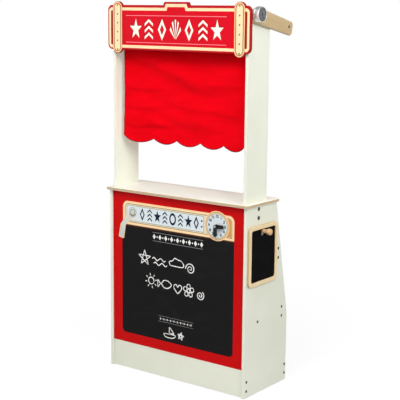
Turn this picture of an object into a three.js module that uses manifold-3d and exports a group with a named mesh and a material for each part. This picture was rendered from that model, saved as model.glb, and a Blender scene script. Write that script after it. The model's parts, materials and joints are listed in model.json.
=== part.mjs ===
// Puppet theatre stand for children: a white cabinet with a printed front, a plywood counter, two
// uprights with a shaped header board, a scalloped curtain on a dowel, awning arms with clamp knobs,
// a small chalkboard on a peg, and a play clock with loose hands.
// Millimetres. X runs across the width, Y from front to back, Z is up, and the floor is Z = 0.
// The pieces are drawn with the cabinet's middle at X = 0 and its front edges at Y = 0. The last
// group moves them, so that the origin is under the middle of the whole stand.

import * as THREE from 'three';
import { mergeVertices } from 'three/addons/utils/BufferGeometryUtils.js';
import Module from 'manifold-3d';

const wasm = await Module();
wasm.setup();

// Fits and cuts
const fit = 0.3;                    // gap between pieces that seat on or pass through each other
const overrun = 1;                  // how far a cutter runs past the face it cuts

// Cabinet
const cabinetWidth = 550;
const sideThickness = 10;
const sideHeight = 607;
const baseDepth = 242;
const sideTopDepth = 167;
const kneeHeight = 228;             // the slanted back edge starts here
const kneeRadius = 90;
const sideCornerRadius = 3;
const frontRecess = 5.5;            // the front panel's face lies this far behind the side panels' edges
const frontPanelThickness = 4;
const grooveDepth = 4.3;
const kickTop = 90.6;
const kickThickness = 18;
const floorClearance = 2;
const railThickness = 12;
const railHeight = 60;
const bottomRailInset = 6.5;        // from the side panel's back edge to the rail's middle
const bottomRailMiddle = 38;
const upperRailInset = 16.6;
const upperRailDrop = 170;          // from the side panel's top to the rail's middle
const shelfRailInset = 28.8;
const shelfRailMiddle = 239;
const shelfTop = 240;
const shelfThickness = 10;
const shelfScrewSetback = 62;       // from the shelf's front edge

// Counter
const counterThickness = 10;
const counterFrontOverhang = 10;
const counterSideOverhang = 10;
const counterBackOverhang = 5;
const counterCornerRadius = 9;
const counterEdgeRound = 1.5;
const counterDowelRadius = 3;
const counterDowelLength = 20;
const counterDowelRise = 7;         // how far a dowel reaches up into the counter
const counterDowelSetback = 22;     // from each end of the side panel's top edge

// Panel screws, in pairs in the rails and single in the shelf
const screwHeadRadius = 4.5;
const screwHeadHeight = 4;
const screwShankRadius = 3;
const screwLength = 40;
const screwSink = 0.3;              // how far a head lies under the panel's face
const screwSpacing = 30;
const hexKeyRadius = 2.3;
const hexKeyDepth = 2.5;
const lowScrewMiddle = 37;          // height of the middle of the kick panel's pair

// Uprights and their bolts
const uprightThickness = 10;
const uprightWidth = 114;
const uprightOverlap = 62;          // how far an upright reaches down beside its side panel
const uprightTopDrop = 8.5;         // from the sign's top edge to the upright's top
const uprightBackRadius = 30;
const uprightFrontRadius = 8;
const boltHeadRadius = 6.5;
const boltHeadHeight = 3;
const boltShankRadius = 3;
const boltDrop = 11;                // from the side panel's top to the upper bolt
const boltSpacing = 28;
const nutFlangeRadius = 7.5;
const nutFlangeHeight = 2.5;
const nutSleeveRadius = 4.2;
const nutSleeveLength = 8;

// Header sign
const signOverhang = 2.75;          // how far each end passes the cabinet's side
const signRise = 462.5;             // from the side panel's top to the sign's lower edge
const signHeight = 141;
const signThickness = 10;
const signCornerRadius = 17;
const bandInset = 39.75;            // from the sign's end to the middle of its upright band
const bandWidth = 40;
const bandHeight = 163.5;
const tabBaseWidth = 100;
const tabTopWidth = 87;
const tabRise = 10;
const tabRadius = 4;

// Battens behind the sign and their screws
const battenWidth = 16;
const battenDepth = 17;
const battenLength = 86;
const battenBelowPocket = 10;       // from the curtain's pocket to the batten's top
const battenScrewInset = 20;        // from each end of a batten
const battenScrewStagger = 12;      // the screws into the sign lie this far from those in the upright
const smallScrewHeadRadius = 4;
const smallScrewHeadHeight = 2.4;
const smallScrewRadius = 2;
const smallScrewLength = 22;

// Curtain rod and curtain
const pivotSetback = 27.2;          // from the upright's front edge to the rod's axis
const pivotDrop = 16.5;             // from the upright's top to the rod's axis
const rodRadius = 9;
const insertRadius = 4.4;
const insertLength = 14;
const curtainSideGap = 11.7;        // between the curtain's edge and the upright
const curtainLength = 400;          // from the rod's axis to the hem's cusps
const clothThickness = 1.8;
const pocketSlack = 0.6;
const scallopDepth = 16;
const foldDepth = 4.2;
const foldCountShare = 2.6;         // cross folds in the whole fall
const foldLeanShare = 0.22;         // how far the cross folds wander up and down along the width
const foldTopShare = 0.35;          // the folds' depth at the pocket, as a share of that at the hem
const rippleDepth = 2.6;
const rippleCountShare = 5;         // upright ripples in the whole width
const rippleLeanShare = 0.9;
const slackShare = 0.25;            // the folds reach their depth over this share of the fall
const hemEdgeShares = [0, 0.247, 0.44, 0.637, 0.827, 1];  // the hem's cusps along the width
const scallopRoundnessShare = 0.75;

// Awning arms and crossbar
const armThickness = 9;
const armTail = 14;                 // from the pivot to the near end
const armTailRise = 23.4;           // from the pivot's height to the top edge, at the near end
const armTailDepth = 27.7;          // and to the lower edge
const armTailRadius = 10;
const armReach = 207;               // from the pivot to the far end
const armEndRise = 20.7;
const armEndDepth = 23;
const armEndRadius = 13;
const armEdgeRound = 1.5;
const crossbarReach = 186;          // from the pivot to the crossbar's axis
const crossbarRise = 1.8;
const crossbarRadius = 8;
const armDroop = 12.4;              // degrees under the horizontal, as photographed

// Clamp knobs
const knobRadius = 23;
const knobLength = 20;
const knobRimWall = 1.6;
const knobFloor = 6;
const knobBackRound = 3;
const knobRimRound = 0.8;
const capDome = 1.2;
const capLip = 1.2;                 // how far the rim stands over the cap's edge
const capDimpleRadius = 3;
const capDimpleDepth = 0.8;
const studRadius = 3;

// Side chalkboard and peg
const chalkboardWidth = 158;
const chalkboardHeight = 189.5;
const chalkboardDrop = 61;          // from the side panel's top to the frame's top
const chalkboardSetback = 6;        // from the side panel's front edge to the frame
const chalkboardThickness = 8;
const chalkboardBorder = 12.5;
const chalkboardCornerRadius = 14;
const slateThickness = 5;
const slateCornerRadius = 7;
const hangHoleRadius = 11;
const hangHoleDrop = 25.2;          // from the frame's top to the hole's middle
const pegNeckRadius = 6.5;
const pegHeadRadius = 10;
const pegHeadLength = 11;
const pegReach = 34.3;              // from the side panel's face to the head's end
const pegTenonRadius = 4;
const pegEdgeRound = 2;

// Clock
const clockInset = 114;             // from the side panel's outer face to the clock's middle
const clockDrop = 69.5;             // from the side panel's top to the clock's middle
const handWidth = 12;
const handThickness = 3.5;
const hourHandLength = 30;
const minuteHandLength = 33;
const clockSpacerRadius = 6;
const clockSpacerLength = 5;
const clockPinRadius = 2;
const clockPinHeadRadius = 4;
const clockPinHeadHeight = 1.5;
const clockNutRadius = 5;
const clockNutHeight = 4;

// Facets and round ends
const roundEndShare = 0.985;        // a round end's corner radius, as a share of half its width
const roundStep = Math.PI / 12;     // largest angle between two points of a rounded corner
const screwSides = 10;
const rodSides = 24;
const knobSides = 32;

// Places that follow from the sizes above
const sideOuter = cabinetWidth / 2;
const sideInner = sideOuter - sideThickness;
const frontPanelBack = frontRecess + frontPanelThickness;
const uprightOuter = sideInner - fit;
const uprightInner = uprightOuter - uprightThickness;
const uprightFront = frontPanelBack + fit;
const uprightBack = uprightFront + uprightWidth;
const signBottom = sideHeight + signRise;
const signTop = signBottom + signHeight;
const signHalfWidth = sideOuter + signOverhang;
const bandSpread = signHalfWidth - bandInset;
const signBack = uprightFront - fit;
const signFront = signBack - signThickness;
const uprightBottom = sideHeight - uprightOverlap;
const uprightTop = signTop - uprightTopDrop;
const pivotY = uprightFront + pivotSetback;
const pivotZ = uprightTop - pivotDrop;
const armInner = uprightOuter + fit;
const armOuter = armInner + armThickness;
const knobInner = armOuter + fit;
const knobOuter = knobInner + knobLength;
const counterTop = sideHeight + fit + counterThickness;
const pocketInner = rodRadius + pocketSlack;
const pocketOuter = pocketInner + clothThickness;
const curtainWidth = 2 * (uprightInner - curtainSideGap);
const chalkboardTop = sideHeight - chalkboardDrop;
const pegX = sideOuter + fit;
const pegY = chalkboardSetback + chalkboardWidth / 2;
const pegZ = chalkboardTop - hangHoleDrop + hangHoleRadius - pegNeckRadius - fit;
const clockX = sideOuter - clockInset;
const clockZ = sideHeight - clockDrop;

const material = {
  whitePaint: paint(0xe6e8da, 0.42),
  redPrint: paint(0xcd1010, 0.38),
  birchPly: paint(0xe6dcc4, 0.5),
  beech: paint(0xc9a877, 0.55),
  slate: paint(0x1c1c1c, 0.7),
  curtain: paint(0xe5081a, 0.95),
  blackPlastic: paint(0x161616, 0.35),
  greyCap: paint(0x5f6464, 0.45),
  chrome: metal(0xd9dcdc, 0.12),
  darkSteel: metal(0x3a3833, 0.35),
  zinc: metal(0xb9bcbd, 0.3),
  brass: metal(0xc2a45a, 0.3),
};

function paint(color, roughness) {
  return new THREE.MeshStandardMaterial({ color, roughness, metalness: 0, flatShading: true });
}

function metal(color, roughness) {
  return new THREE.MeshStandardMaterial({ color, roughness, metalness: 1, flatShading: true });
}

// Joins vertices that coincide, and drops the empty triangles that this leaves
function weld(geometry) {
  const bare = geometry.clone();
  bare.deleteAttribute('normal');
  bare.deleteAttribute('uv');
  const welded = mergeVertices(bare);
  const index = welded.index.array;
  const kept = [];
  for (let i = 0; i < index.length; i += 3) {
    const [a, b, c] = index.slice(i, i + 3);
    if (a !== b && b !== c && c !== a) {
      kept.push(a, b, c);
    }
  }
  welded.setIndex(kept);
  return welded;
}

function toSolid(geometry) {
  const welded = weld(geometry);
  return new wasm.Manifold(new wasm.Mesh({
    numProp: 3,
    vertProperties: new Float32Array(welded.attributes.position.array),
    triVerts: new Uint32Array(welded.index.array),
  }));
}

function toGeometry(solid) {
  const mesh = solid.getMesh();
  const geometry = new THREE.BufferGeometry();
  geometry.setAttribute('position', new THREE.Float32BufferAttribute(mesh.vertProperties, 3));
  geometry.setIndex(Array.from(mesh.triVerts));
  return geometry;
}

function cut(geometry, cutters) {
  const whole = toSolid(geometry);
  const rest = cutters.reduce((solid, cutter) => solid.subtract(toSolid(cutter)), whole);
  return toGeometry(rest);
}

function join(geometries) {
  const [first, ...others] = geometries.map(toSolid);
  return toGeometry(others.reduce((solid, other) => solid.add(other), first));
}

// The same piece on the other side of the stand, with its faces still pointing out
function mirrored(geometry) {
  const copy = weld(geometry).scale(-1, 1, 1);
  const index = copy.index.array;
  const flipped = [];
  for (let i = 0; i < index.length; i += 3) {
    flipped.push(index[i], index[i + 2], index[i + 1]);
  }
  copy.setIndex(flipped);
  return copy;
}

// What stands alike on both sides: each side's name, and how its piece is made from the right one
const sides = [
  ['right', (geometry) => geometry],
  ['left', mirrored],
];

function piece(name, geometry, finish) {
  const welded = weld(geometry);
  welded.computeVertexNormals();
  const mesh = new THREE.Mesh(welded, finish);
  mesh.name = name;
  return mesh;
}

// Points of an outline with rounded corners, each corner given as [x, y, radius], counter-clockwise
function roundedPoints(corners) {
  return corners.flatMap(([x, y, radius], i) => {
    const corner = new THREE.Vector2(x, y);
    if (radius === 0) {
      return [corner];
    }
    const before = new THREE.Vector2(...corners.at(i - 1)).sub(corner).normalize();
    const after = new THREE.Vector2(...corners[(i + 1) % corners.length]).sub(corner).normalize();
    const half = Math.acos(before.dot(after)) / 2;
    const turn = Math.PI - 2 * half;
    const middle = before.clone().add(after).setLength(radius / Math.sin(half)).add(corner);
    const from = before.clone().multiplyScalar(radius / Math.tan(half)).add(corner).sub(middle);
    const way = Math.sign(after.cross(before));
    const steps = Math.max(2, Math.ceil(turn / roundStep));
    return Array.from({ length: steps + 1 }, (_, step) => (
      from.clone().rotateAround(new THREE.Vector2(), way * turn * step / steps).add(middle)
    ));
  });
}

function roundedShape(corners) {
  return new THREE.Shape(roundedPoints(corners));
}

function rectangle(left, bottom, right, top, radius) {
  return [[left, bottom, radius], [right, bottom, radius], [right, top, radius], [left, top, radius]];
}

function board(shape, thickness) {
  return new THREE.ExtrudeGeometry(shape, { depth: thickness, bevelEnabled: false });
}

// A board with its edges rounded on both faces, inside the drawn outline and thickness
function easedBoard(shape, thickness, round) {
  return new THREE.ExtrudeGeometry(shape, {
    depth: thickness - 2 * round,
    bevelThickness: round,
    bevelSize: round,
    bevelOffset: -round,
    bevelSegments: 2,
  }).translate(0, 0, round);
}

// Stands a board, drawn in (Y, Z), up on the X axis, from X = fromX outwards
function standAcross(geometry, fromX) {
  return geometry.rotateY(Math.PI / 2).rotateX(Math.PI / 2).translate(fromX, 0, 0);
}

// Stands a board, drawn in (X, Z), up to face the front, with its back at Y = backY
function standFacing(geometry, backY) {
  return geometry.rotateX(Math.PI / 2).translate(0, backY, 0);
}

function block(left, right, front, back, bottom, top) {
  return new THREE.BoxGeometry(right - left, back - front, top - bottom)
    .translate((left + right) / 2, (front + back) / 2, (bottom + top) / 2);
}

// A turned piece along its own y, from a profile of [radius, height] given from the bottom up
function turned(profile, sides) {
  return new THREE.LatheGeometry(profile.map(([r, h]) => new THREE.Vector2(r, h)), sides);
}

// Lays a piece that stands on its own y along X, with its top outwards at X = topX
function layAlongX(geometry, topX, y, z) {
  return geometry.rotateZ(-Math.PI / 2).translate(topX, y, z);
}

function cylinderAlongX(radius, fromX, toX, y, z, sides) {
  const rod = new THREE.CylinderGeometry(radius, radius, toX - fromX, sides);
  return layAlongX(rod, (fromX + toX) / 2, y, z);
}

function cylinderAlongY(radius, fromY, toY, x, z, sides) {
  return new THREE.CylinderGeometry(radius, radius, toY - fromY, sides).translate(x, (fromY + toY) / 2, z);
}

function cylinderAlongZ(radius, fromZ, toZ, x, y, sides) {
  const rod = new THREE.CylinderGeometry(radius, radius, toZ - fromZ, sides).rotateX(Math.PI / 2);
  return rod.translate(x, y, (fromZ + toZ) / 2);
}

// Where the side panel's back edge lies at a height
function backEdge(z) {
  const rise = THREE.MathUtils.clamp((z - kneeHeight) / (sideHeight - kneeHeight), 0, 1);
  return THREE.MathUtils.lerp(baseDepth, sideTopDepth, rise);
}

// Rails, each as the middle of its section
const bottomRail = { y: backEdge(bottomRailMiddle) - bottomRailInset, z: bottomRailMiddle };
const upperRailMiddle = sideHeight - upperRailDrop;
const upperRail = { y: backEdge(upperRailMiddle) - upperRailInset, z: upperRailMiddle };
const shelfRail = { y: backEdge(shelfRailMiddle) - shelfRailInset, z: shelfRailMiddle };
const shelfFront = uprightFront;
const shelfBack = shelfRail.y - railThickness / 2 - fit;

// Panel screws, as [y, z] on the side panel's face
function screwPair(y, z) {
  return [[y, z - screwSpacing / 2], [y, z + screwSpacing / 2]];
}

const kickScrews = screwPair(frontRecess + kickThickness / 2, lowScrewMiddle);
const bottomRailScrews = screwPair(bottomRail.y, bottomRail.z);
const upperRailScrews = screwPair(upperRail.y, upperRail.z);
const shelfRailScrews = screwPair(shelfRail.y, shelfRail.z);
const shelfScrews = [[shelfFront + shelfScrewSetback, shelfTop - shelfThickness / 2]];
const panelScrews = [kickScrews, bottomRailScrews, upperRailScrews, shelfRailScrews, shelfScrews].flat();
const screwEnd = sideOuter - screwSink - screwLength;

function screwBore([y, z]) {
  return cylinderAlongX(screwShankRadius + fit, screwEnd - fit, sideOuter + overrun, y, z, screwSides);
}

function panelScrew([y, z]) {
  const body = turned([
    [0, -screwLength],
    [screwShankRadius, -screwLength + screwShankRadius],
    [screwShankRadius, -screwHeadHeight],
    [screwHeadRadius, -screwHeadHeight],
    [screwHeadRadius, 0],
    [0, 0],
  ], screwSides);
  const hexKey = new THREE.CylinderGeometry(hexKeyRadius, hexKeyRadius, 2 * hexKeyDepth, 6);
  return layAlongX(cut(body, [hexKey]), sideOuter - screwSink, y, z);
}

// Bolts that hold the uprights to the side panels
const boltY = uprightFront + uprightWidth / 2;
const boltHeights = [sideHeight - boltDrop, sideHeight - boltDrop - boltSpacing];

// A bolt screwed home into its flanged sleeve nut
function uprightBolt(z) {
  const outer = sideOuter - screwSink;
  const flange = uprightInner - fit - outer;
  const nutTop = flange + nutSleeveLength;
  const body = turned([
    [0, flange - nutFlangeHeight],
    [nutFlangeRadius - nutFlangeHeight / 2, flange - nutFlangeHeight],
    [nutFlangeRadius, flange - nutFlangeHeight / 2],
    [nutFlangeRadius, flange],
    [nutSleeveRadius, flange],
    [nutSleeveRadius, nutTop],
    [boltShankRadius, nutTop],
    [boltShankRadius, -boltHeadHeight],
    [boltHeadRadius, -boltHeadHeight],
    [boltHeadRadius, 0],
    [0, 0],
  ], screwSides);
  const hexKey = new THREE.CylinderGeometry(hexKeyRadius, hexKeyRadius, 2 * hexKeyDepth, 6);
  return layAlongX(cut(body, [hexKey]), outer, boltY, z);
}

function sidePanel() {
  const outline = roundedShape([
    [0, 0, 0],
    [baseDepth, 0, 0],
    [baseDepth, kneeHeight, kneeRadius],
    [sideTopDepth, sideHeight, sideCornerRadius],
    [0, sideHeight, sideCornerRadius],
  ]);
  const panel = standAcross(board(outline, sideThickness), sideInner);
  const groove = block(
    sideInner - overrun, sideInner + grooveDepth,
    frontRecess - fit, frontPanelBack + fit,
    kickTop, sideHeight + overrun,
  );
  const headSeatStart = sideOuter - screwSink - screwHeadHeight - fit;
  const headSeats = panelScrews.map(([y, z]) => cylinderAlongX(
    screwHeadRadius + fit, headSeatStart, sideOuter + overrun, y, z, screwSides,
  ));
  const boltBores = boltHeights.map((z) => cylinderAlongX(
    boltShankRadius + fit, sideInner - overrun, sideOuter + overrun, boltY, z, screwSides,
  ));
  const boltSeatStart = sideOuter - screwSink - boltHeadHeight - fit;
  const boltSeats = boltHeights.map((z) => cylinderAlongX(
    boltHeadRadius + fit, boltSeatStart, sideOuter + overrun, boltY, z, screwSides,
  ));
  const screwBores = panelScrews.map(screwBore);
  const bored = cut(panel, [groove, ...screwBores, ...headSeats, ...boltBores, ...boltSeats]);
  return join([bored, ...counterDowels()]);
}

// Dowels glued into the side panels' tops, which the counter is pressed on to
const dowelYs = [counterDowelSetback, sideTopDepth - counterDowelSetback];
const dowelX = sideOuter - sideThickness / 2;
const dowelTop = sideHeight + fit + counterDowelRise;

function counterDowels() {
  return dowelYs.map((y) => cylinderAlongZ(
    counterDowelRadius, dowelTop - counterDowelLength, dowelTop, dowelX, y, screwSides,
  ));
}

function dowelBores() {
  return dowelYs.map((y) => cylinderAlongZ(
    counterDowelRadius + fit, sideHeight, dowelTop + fit, dowelX, y, screwSides,
  ));
}

function counter() {
  const half = sideOuter + counterSideOverhang;
  const back = sideTopDepth + counterBackOverhang;
  const outline = roundedShape(rectangle(-half, -counterFrontOverhang, half, back, counterCornerRadius));
  const top = easedBoard(outline, counterThickness, counterEdgeRound).translate(0, 0, sideHeight + fit);
  const slot = block(
    uprightInner - fit, uprightOuter + fit,
    uprightFront - fit, uprightBack + fit,
    sideHeight - overrun, counterTop + overrun,
  );
  const cutters = [slot, ...dowelBores()];
  return cut(top, [...cutters, ...cutters.map(mirrored)]);
}

function frontPanel() {
  const half = sideInner + grooveDepth - fit;
  const panel = block(-half, half, frontRecess, frontPanelBack, kickTop + fit, sideHeight);
  const pinBore = cylinderAlongY(
    clockPinRadius + fit, frontRecess - overrun, frontPanelBack + overrun, 0, 0, screwSides,
  );
  return cut(panel, [pinBore.translate(clockX, 0, clockZ)]);
}

// A board between the side panels, with the screws' bores in both ends
function crossBoard(front, back, bottom, top, screws) {
  const half = sideInner - fit;
  const bores = screws.map(screwBore);
  return cut(block(-half, half, front, back, bottom, top), [...bores, ...bores.map(mirrored)]);
}

function rail(middle, screws) {
  return crossBoard(
    middle.y - railThickness / 2, middle.y + railThickness / 2,
    middle.z - railHeight / 2, middle.z + railHeight / 2, screws,
  );
}

function upright() {
  const outline = roundedShape([
    [uprightFront, uprightBottom, 0],
    [uprightBack, uprightBottom, 0],
    [uprightBack, uprightTop, uprightBackRadius],
    [uprightFront, uprightTop, uprightFrontRadius],
  ]);
  const blank = standAcross(board(outline, uprightThickness), uprightInner);
  const bore = (radius, y, z, faces) => cylinderAlongX(
    radius + fit, uprightInner - overrun, uprightOuter + overrun, y, z, faces,
  );
  return cut(blank, [
    bore(studRadius, pivotY, pivotZ, rodSides),
    ...boltHeights.map((z) => bore(nutSleeveRadius, boltY, z, screwSides)),
    ...uprightScrewHeights.map((z) => smallScrewBore().translate(uprightOuter, battenScrewY, z)),
  ]);
}

// Battens behind the sign: two screws each through the upright, two each into the sign
const battenBottom = pivotZ - pocketOuter - battenBelowPocket - battenLength;
const battenFront = signBack + fit;
const battenScrewY = battenFront + battenDepth / 2;
const battenX = uprightInner - fit - battenWidth / 2;
const battenTop = battenBottom + battenLength;
const uprightScrewHeights = [battenBottom + battenScrewInset, battenTop - battenScrewInset];
const signScrewInset = battenScrewInset + battenScrewStagger;
const signScrewHeights = [battenBottom + signScrewInset, battenTop - signScrewInset];

function smallScrewProfile(gap) {
  return [
    [0, -smallScrewLength - gap],
    [smallScrewRadius + gap, -smallScrewLength - gap],
    [smallScrewRadius + gap, -smallScrewHeadHeight],
    [smallScrewHeadRadius + gap, 0],
  ];
}

// A countersunk screw with its head at the origin, pointing to -X
function smallScrew() {
  return layAlongX(turned([...smallScrewProfile(0), [0, 0]], screwSides), -screwSink, 0, 0);
}

function smallScrewBore() {
  const mouth = smallScrewHeadRadius + fit;
  const profile = [...smallScrewProfile(fit), [mouth, overrun], [0, overrun]];
  return layAlongX(turned(profile, screwSides), 0, 0, 0);
}

// The same screw driven forwards, with its head behind the batten
function facingForward(geometry) {
  return geometry.rotateZ(Math.PI / 2).translate(battenX, battenFront + battenDepth, 0);
}

// A batten with the four screws that are driven home in it
function batten() {
  const bar = block(
    battenX - battenWidth / 2, battenX + battenWidth / 2,
    battenFront, battenFront + battenDepth,
    battenBottom, battenTop,
  );
  return join([
    bar,
    ...uprightScrewHeights.map((z) => smallScrew().translate(uprightOuter, battenScrewY, z)),
    ...signScrewHeights.map((z) => facingForward(smallScrew()).translate(0, 0, z)),
  ]);
}

// One board: a plate with round corners, two tall round-ended bands and a tab on the top edge
function headerSign() {
  const middleZ = signBottom + signHeight / 2;
  const plate = rectangle(-signHalfWidth, signBottom, signHalfWidth, signTop, signCornerRadius);
  const bands = [-bandSpread, bandSpread].map((x) => rectangle(
    x - bandWidth / 2, middleZ - bandHeight / 2, x + bandWidth / 2, middleZ + bandHeight / 2,
    roundEndShare * bandWidth / 2,
  ));
  const tab = [
    [-tabBaseWidth / 2, signTop - tabRise, 0],
    [tabBaseWidth / 2, signTop - tabRise, 0],
    [tabBaseWidth / 2, signTop, 0],
    [tabTopWidth / 2, signTop + tabRise, tabRadius],
    [-tabTopWidth / 2, signTop + tabRise, tabRadius],
    [-tabBaseWidth / 2, signTop, 0],
  ];
  const outlines = [plate, ...bands, tab];
  const whole = join(outlines.map((outline) => (
    standFacing(board(roundedShape(outline), signThickness), signBack)
  )));
  const bores = signScrewHeights.map((z) => facingForward(smallScrewBore()).translate(0, 0, z));
  return cut(whole, [...bores, ...bores.map(mirrored)]);
}

// Curtain rod, its threaded inserts and the bores that hold them
function curtainRod() {
  const half = uprightInner - fit;
  const rod = cylinderAlongX(rodRadius, -half, half, pivotY, pivotZ, rodSides);
  const bore = cylinderAlongX(
    insertRadius + fit, half - insertLength - 2 * fit, half + overrun, pivotY, pivotZ, screwSides,
  );
  return cut(rod, [bore, mirrored(bore)]);
}

function rodInsert() {
  const outer = uprightInner - fit;
  const sleeve = cylinderAlongX(insertRadius, outer - insertLength, outer, pivotY, pivotZ, screwSides);
  const thread = cylinderAlongX(
    studRadius + fit, outer - insertLength - overrun, outer + overrun, pivotY, pivotZ, rodSides,
  );
  return cut(sleeve, [thread]);
}

// How far the cloth lies in front of (minus) or behind the rod's axis, by its shares of width and fall
function clothOffset(across, down) {
  const hang = Math.min(1, down / slackShare);
  const wander = foldLeanShare * Math.sin(2 * Math.PI * across);
  const fold = foldDepth * Math.sin(2 * Math.PI * (foldCountShare * down + wander));
  const ripple = rippleDepth * Math.sin(2 * Math.PI * (rippleCountShare * across + rippleLeanShare * down));
  return hang * (fold * THREE.MathUtils.lerp(foldTopShare, 1, down) + ripple * down);
}

// The hem's height along the width: five round scallops that meet in cusps
function hemZ(across) {
  const lobe = Math.max(1, hemEdgeShares.findIndex((share) => share >= across));
  const [from, to] = [hemEdgeShares[lobe - 1], hemEdgeShares[lobe]];
  const round = Math.sin(Math.PI * (across - from) / (to - from));
  return pivotZ - curtainLength - scallopDepth * Math.max(0, round) ** scallopRoundnessShare;
}

// A pocket round the rod and one hanging layer, drawn as sections along the width
function curtain() {
  const lobeColumns = 6;
  const pocketSteps = 10;
  const fallRows = 9;
  const neck = Math.asin(clothThickness / 2 / pocketOuter);
  const shares = [0];
  for (let lobe = 1; lobe < hemEdgeShares.length; lobe += 1) {
    for (let column = 1; column <= lobeColumns; column += 1) {
      shares.push(THREE.MathUtils.lerp(hemEdgeShares[lobe - 1], hemEdgeShares[lobe], column / lobeColumns));
    }
  }
  const pocketAngle = (step) => -Math.PI / 2 + neck + (2 * Math.PI - 2 * neck) * step / pocketSteps;
  const outerLoop = (across) => {
    const bottom = hemZ(across);
    const start = pivotZ - pocketOuter * Math.cos(neck);
    const fall = (row, side) => {
      const down = row / fallRows;
      const z = THREE.MathUtils.lerp(start, bottom, down);
      return [pivotY + side * clothThickness / 2 + clothOffset(across, down), z];
    };
    const back = Array.from({ length: fallRows }, (_, i) => fall(fallRows - i, 1));
    const round = Array.from({ length: pocketSteps + 1 }, (_, i) => [
      pivotY + pocketOuter * Math.cos(pocketAngle(i)),
      pivotZ + pocketOuter * Math.sin(pocketAngle(i)),
    ]);
    const front = Array.from({ length: fallRows }, (_, i) => fall(i + 1, -1));
    return [...back, ...round, ...front];
  };
  const innerLoop = () => Array.from({ length: pocketSteps }, (_, i) => {
    const angle = -Math.PI / 2 + 2 * Math.PI * i / pocketSteps;
    return [pivotY + pocketInner * Math.cos(angle), pivotZ + pocketInner * Math.sin(angle)];
  });
  return loftedAlongX(shares, outerLoop, innerLoop);
}

// Joins equal sections, each an outer loop and a hole, into one closed body along the curtain's width
function loftedAlongX(shares, outerLoop, innerLoop) {
  const sections = shares.map((share) => [outerLoop(share), innerLoop(share)]);
  const outerCount = sections[0][0].length;
  const count = outerCount + sections[0][1].length;
  const positions = sections.flatMap((loops, i) => {
    const x = curtainWidth * (shares[i] - 1 / 2);
    return loops.flat().flatMap(([y, z]) => [x, y, z]);
  });
  const index = [];
  const addWall = (a, b, inward) => {
    for (let i = 0; i + 1 < sections.length; i += 1) {
      const [p, q, r, s] = [i * count + a, i * count + b, (i + 1) * count + b, (i + 1) * count + a];
      index.push(...(inward ? [p, r, q, p, s, r] : [p, q, r, p, r, s]));
    }
  };
  for (let i = 0; i < outerCount; i += 1) {
    addWall(i, (i + 1) % outerCount, false);
  }
  for (let i = outerCount; i < count; i += 1) {
    addWall(i, i + 1 < count ? i + 1 : outerCount, true);
  }
  const vectors = sections[0].map((loop) => loop.map(([y, z]) => new THREE.Vector2(y, z)));
  const endVectors = sections.at(-1).map((loop) => loop.map(([y, z]) => new THREE.Vector2(y, z)));
  for (const [a, b, c] of THREE.ShapeUtils.triangulateShape(vectors[0], [vectors[1]])) {
    index.push(a, c, b);
  }
  const last = (sections.length - 1) * count;
  for (const [a, b, c] of THREE.ShapeUtils.triangulateShape(endVectors[0], [endVectors[1]])) {
    index.push(last + a, last + b, last + c);
  }
  const geometry = new THREE.BufferGeometry();
  geometry.setAttribute('position', new THREE.Float32BufferAttribute(positions, 3));
  geometry.setIndex(index);
  return geometry;
}

// An arm lies along Y from its pivot at the origin, as the group round it is turned
function arm() {
  const outline = roundedShape([
    [-armTail, -armTailDepth, armTailRadius],
    [armReach, -armEndDepth, armEndRadius],
    [armReach, armEndRise, armEndRadius],
    [-armTail, armTailRise, armTailRadius],
  ]);
  const blank = standAcross(easedBoard(outline, armThickness, armEdgeRound), armInner);
  const pivotBore = cylinderAlongX(
    studRadius + fit, armInner - overrun, armOuter + overrun, 0, 0, rodSides,
  );
  return cut(blank, [pivotBore, smallScrewBore().translate(armOuter, crossbarReach, crossbarRise)]);
}

function crossbar() {
  const half = armInner - fit;
  const bar = cylinderAlongX(crossbarRadius, -half, half, crossbarReach, crossbarRise, rodSides);
  const bore = smallScrewBore().translate(armOuter, crossbarReach, crossbarRise);
  return cut(bar, [bore, mirrored(bore)]);
}

// The knob's parts lie along X round the pivot
const capSeat = knobInner + knobFloor + fit;
const capEdge = knobOuter - capLip;
const studEnd = capEdge - capDome;
const studStart = uprightInner - fit - insertLength;

function knobShell() {
  const wall = knobRadius - knobRimWall;
  const bore = studRadius + fit;
  const profile = roundedPoints([
    [bore, -knobLength, 0],
    [knobRadius, -knobLength, knobBackRound],
    [knobRadius, 0, knobRimRound],
    [wall, 0, 0],
    [wall, -knobLength + knobFloor, 0],
    [bore, -knobLength + knobFloor, 0],
  ]);
  return layAlongX(turned([...profile, profile[0]], knobSides), knobOuter, pivotY, pivotZ);
}

function knobCap() {
  const edge = knobRadius - knobRimWall - fit;
  const top = capEdge - capSeat;
  const bore = studRadius + fit;
  const domeSteps = 4;
  const dome = Array.from({ length: domeSteps }, (_, i) => {
    const r = THREE.MathUtils.lerp(edge, capDimpleRadius, i / domeSteps);
    return [r, top + capDome * (1 - (r / edge) ** 2)];
  });
  const crown = top + capDome * (1 - (capDimpleRadius / edge) ** 2);
  return layAlongX(turned([
    [bore, 0],
    [edge, 0],
    ...dome,
    [capDimpleRadius, crown],
    [0, crown - capDimpleDepth],
    [0, studEnd + fit - capSeat],
    [bore, studEnd + fit - capSeat],
    [bore, 0],
  ], knobSides), capSeat, pivotY, pivotZ);
}

function knobStud() {
  return cylinderAlongX(studRadius, studStart, studEnd, pivotY, pivotZ, rodSides);
}

// The chalkboard hangs on the peg's neck by its hole
const frameBottom = chalkboardTop - chalkboardHeight;
const chalkboardInner = pegX + fit;
const holeZ = chalkboardTop - hangHoleDrop;

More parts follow.
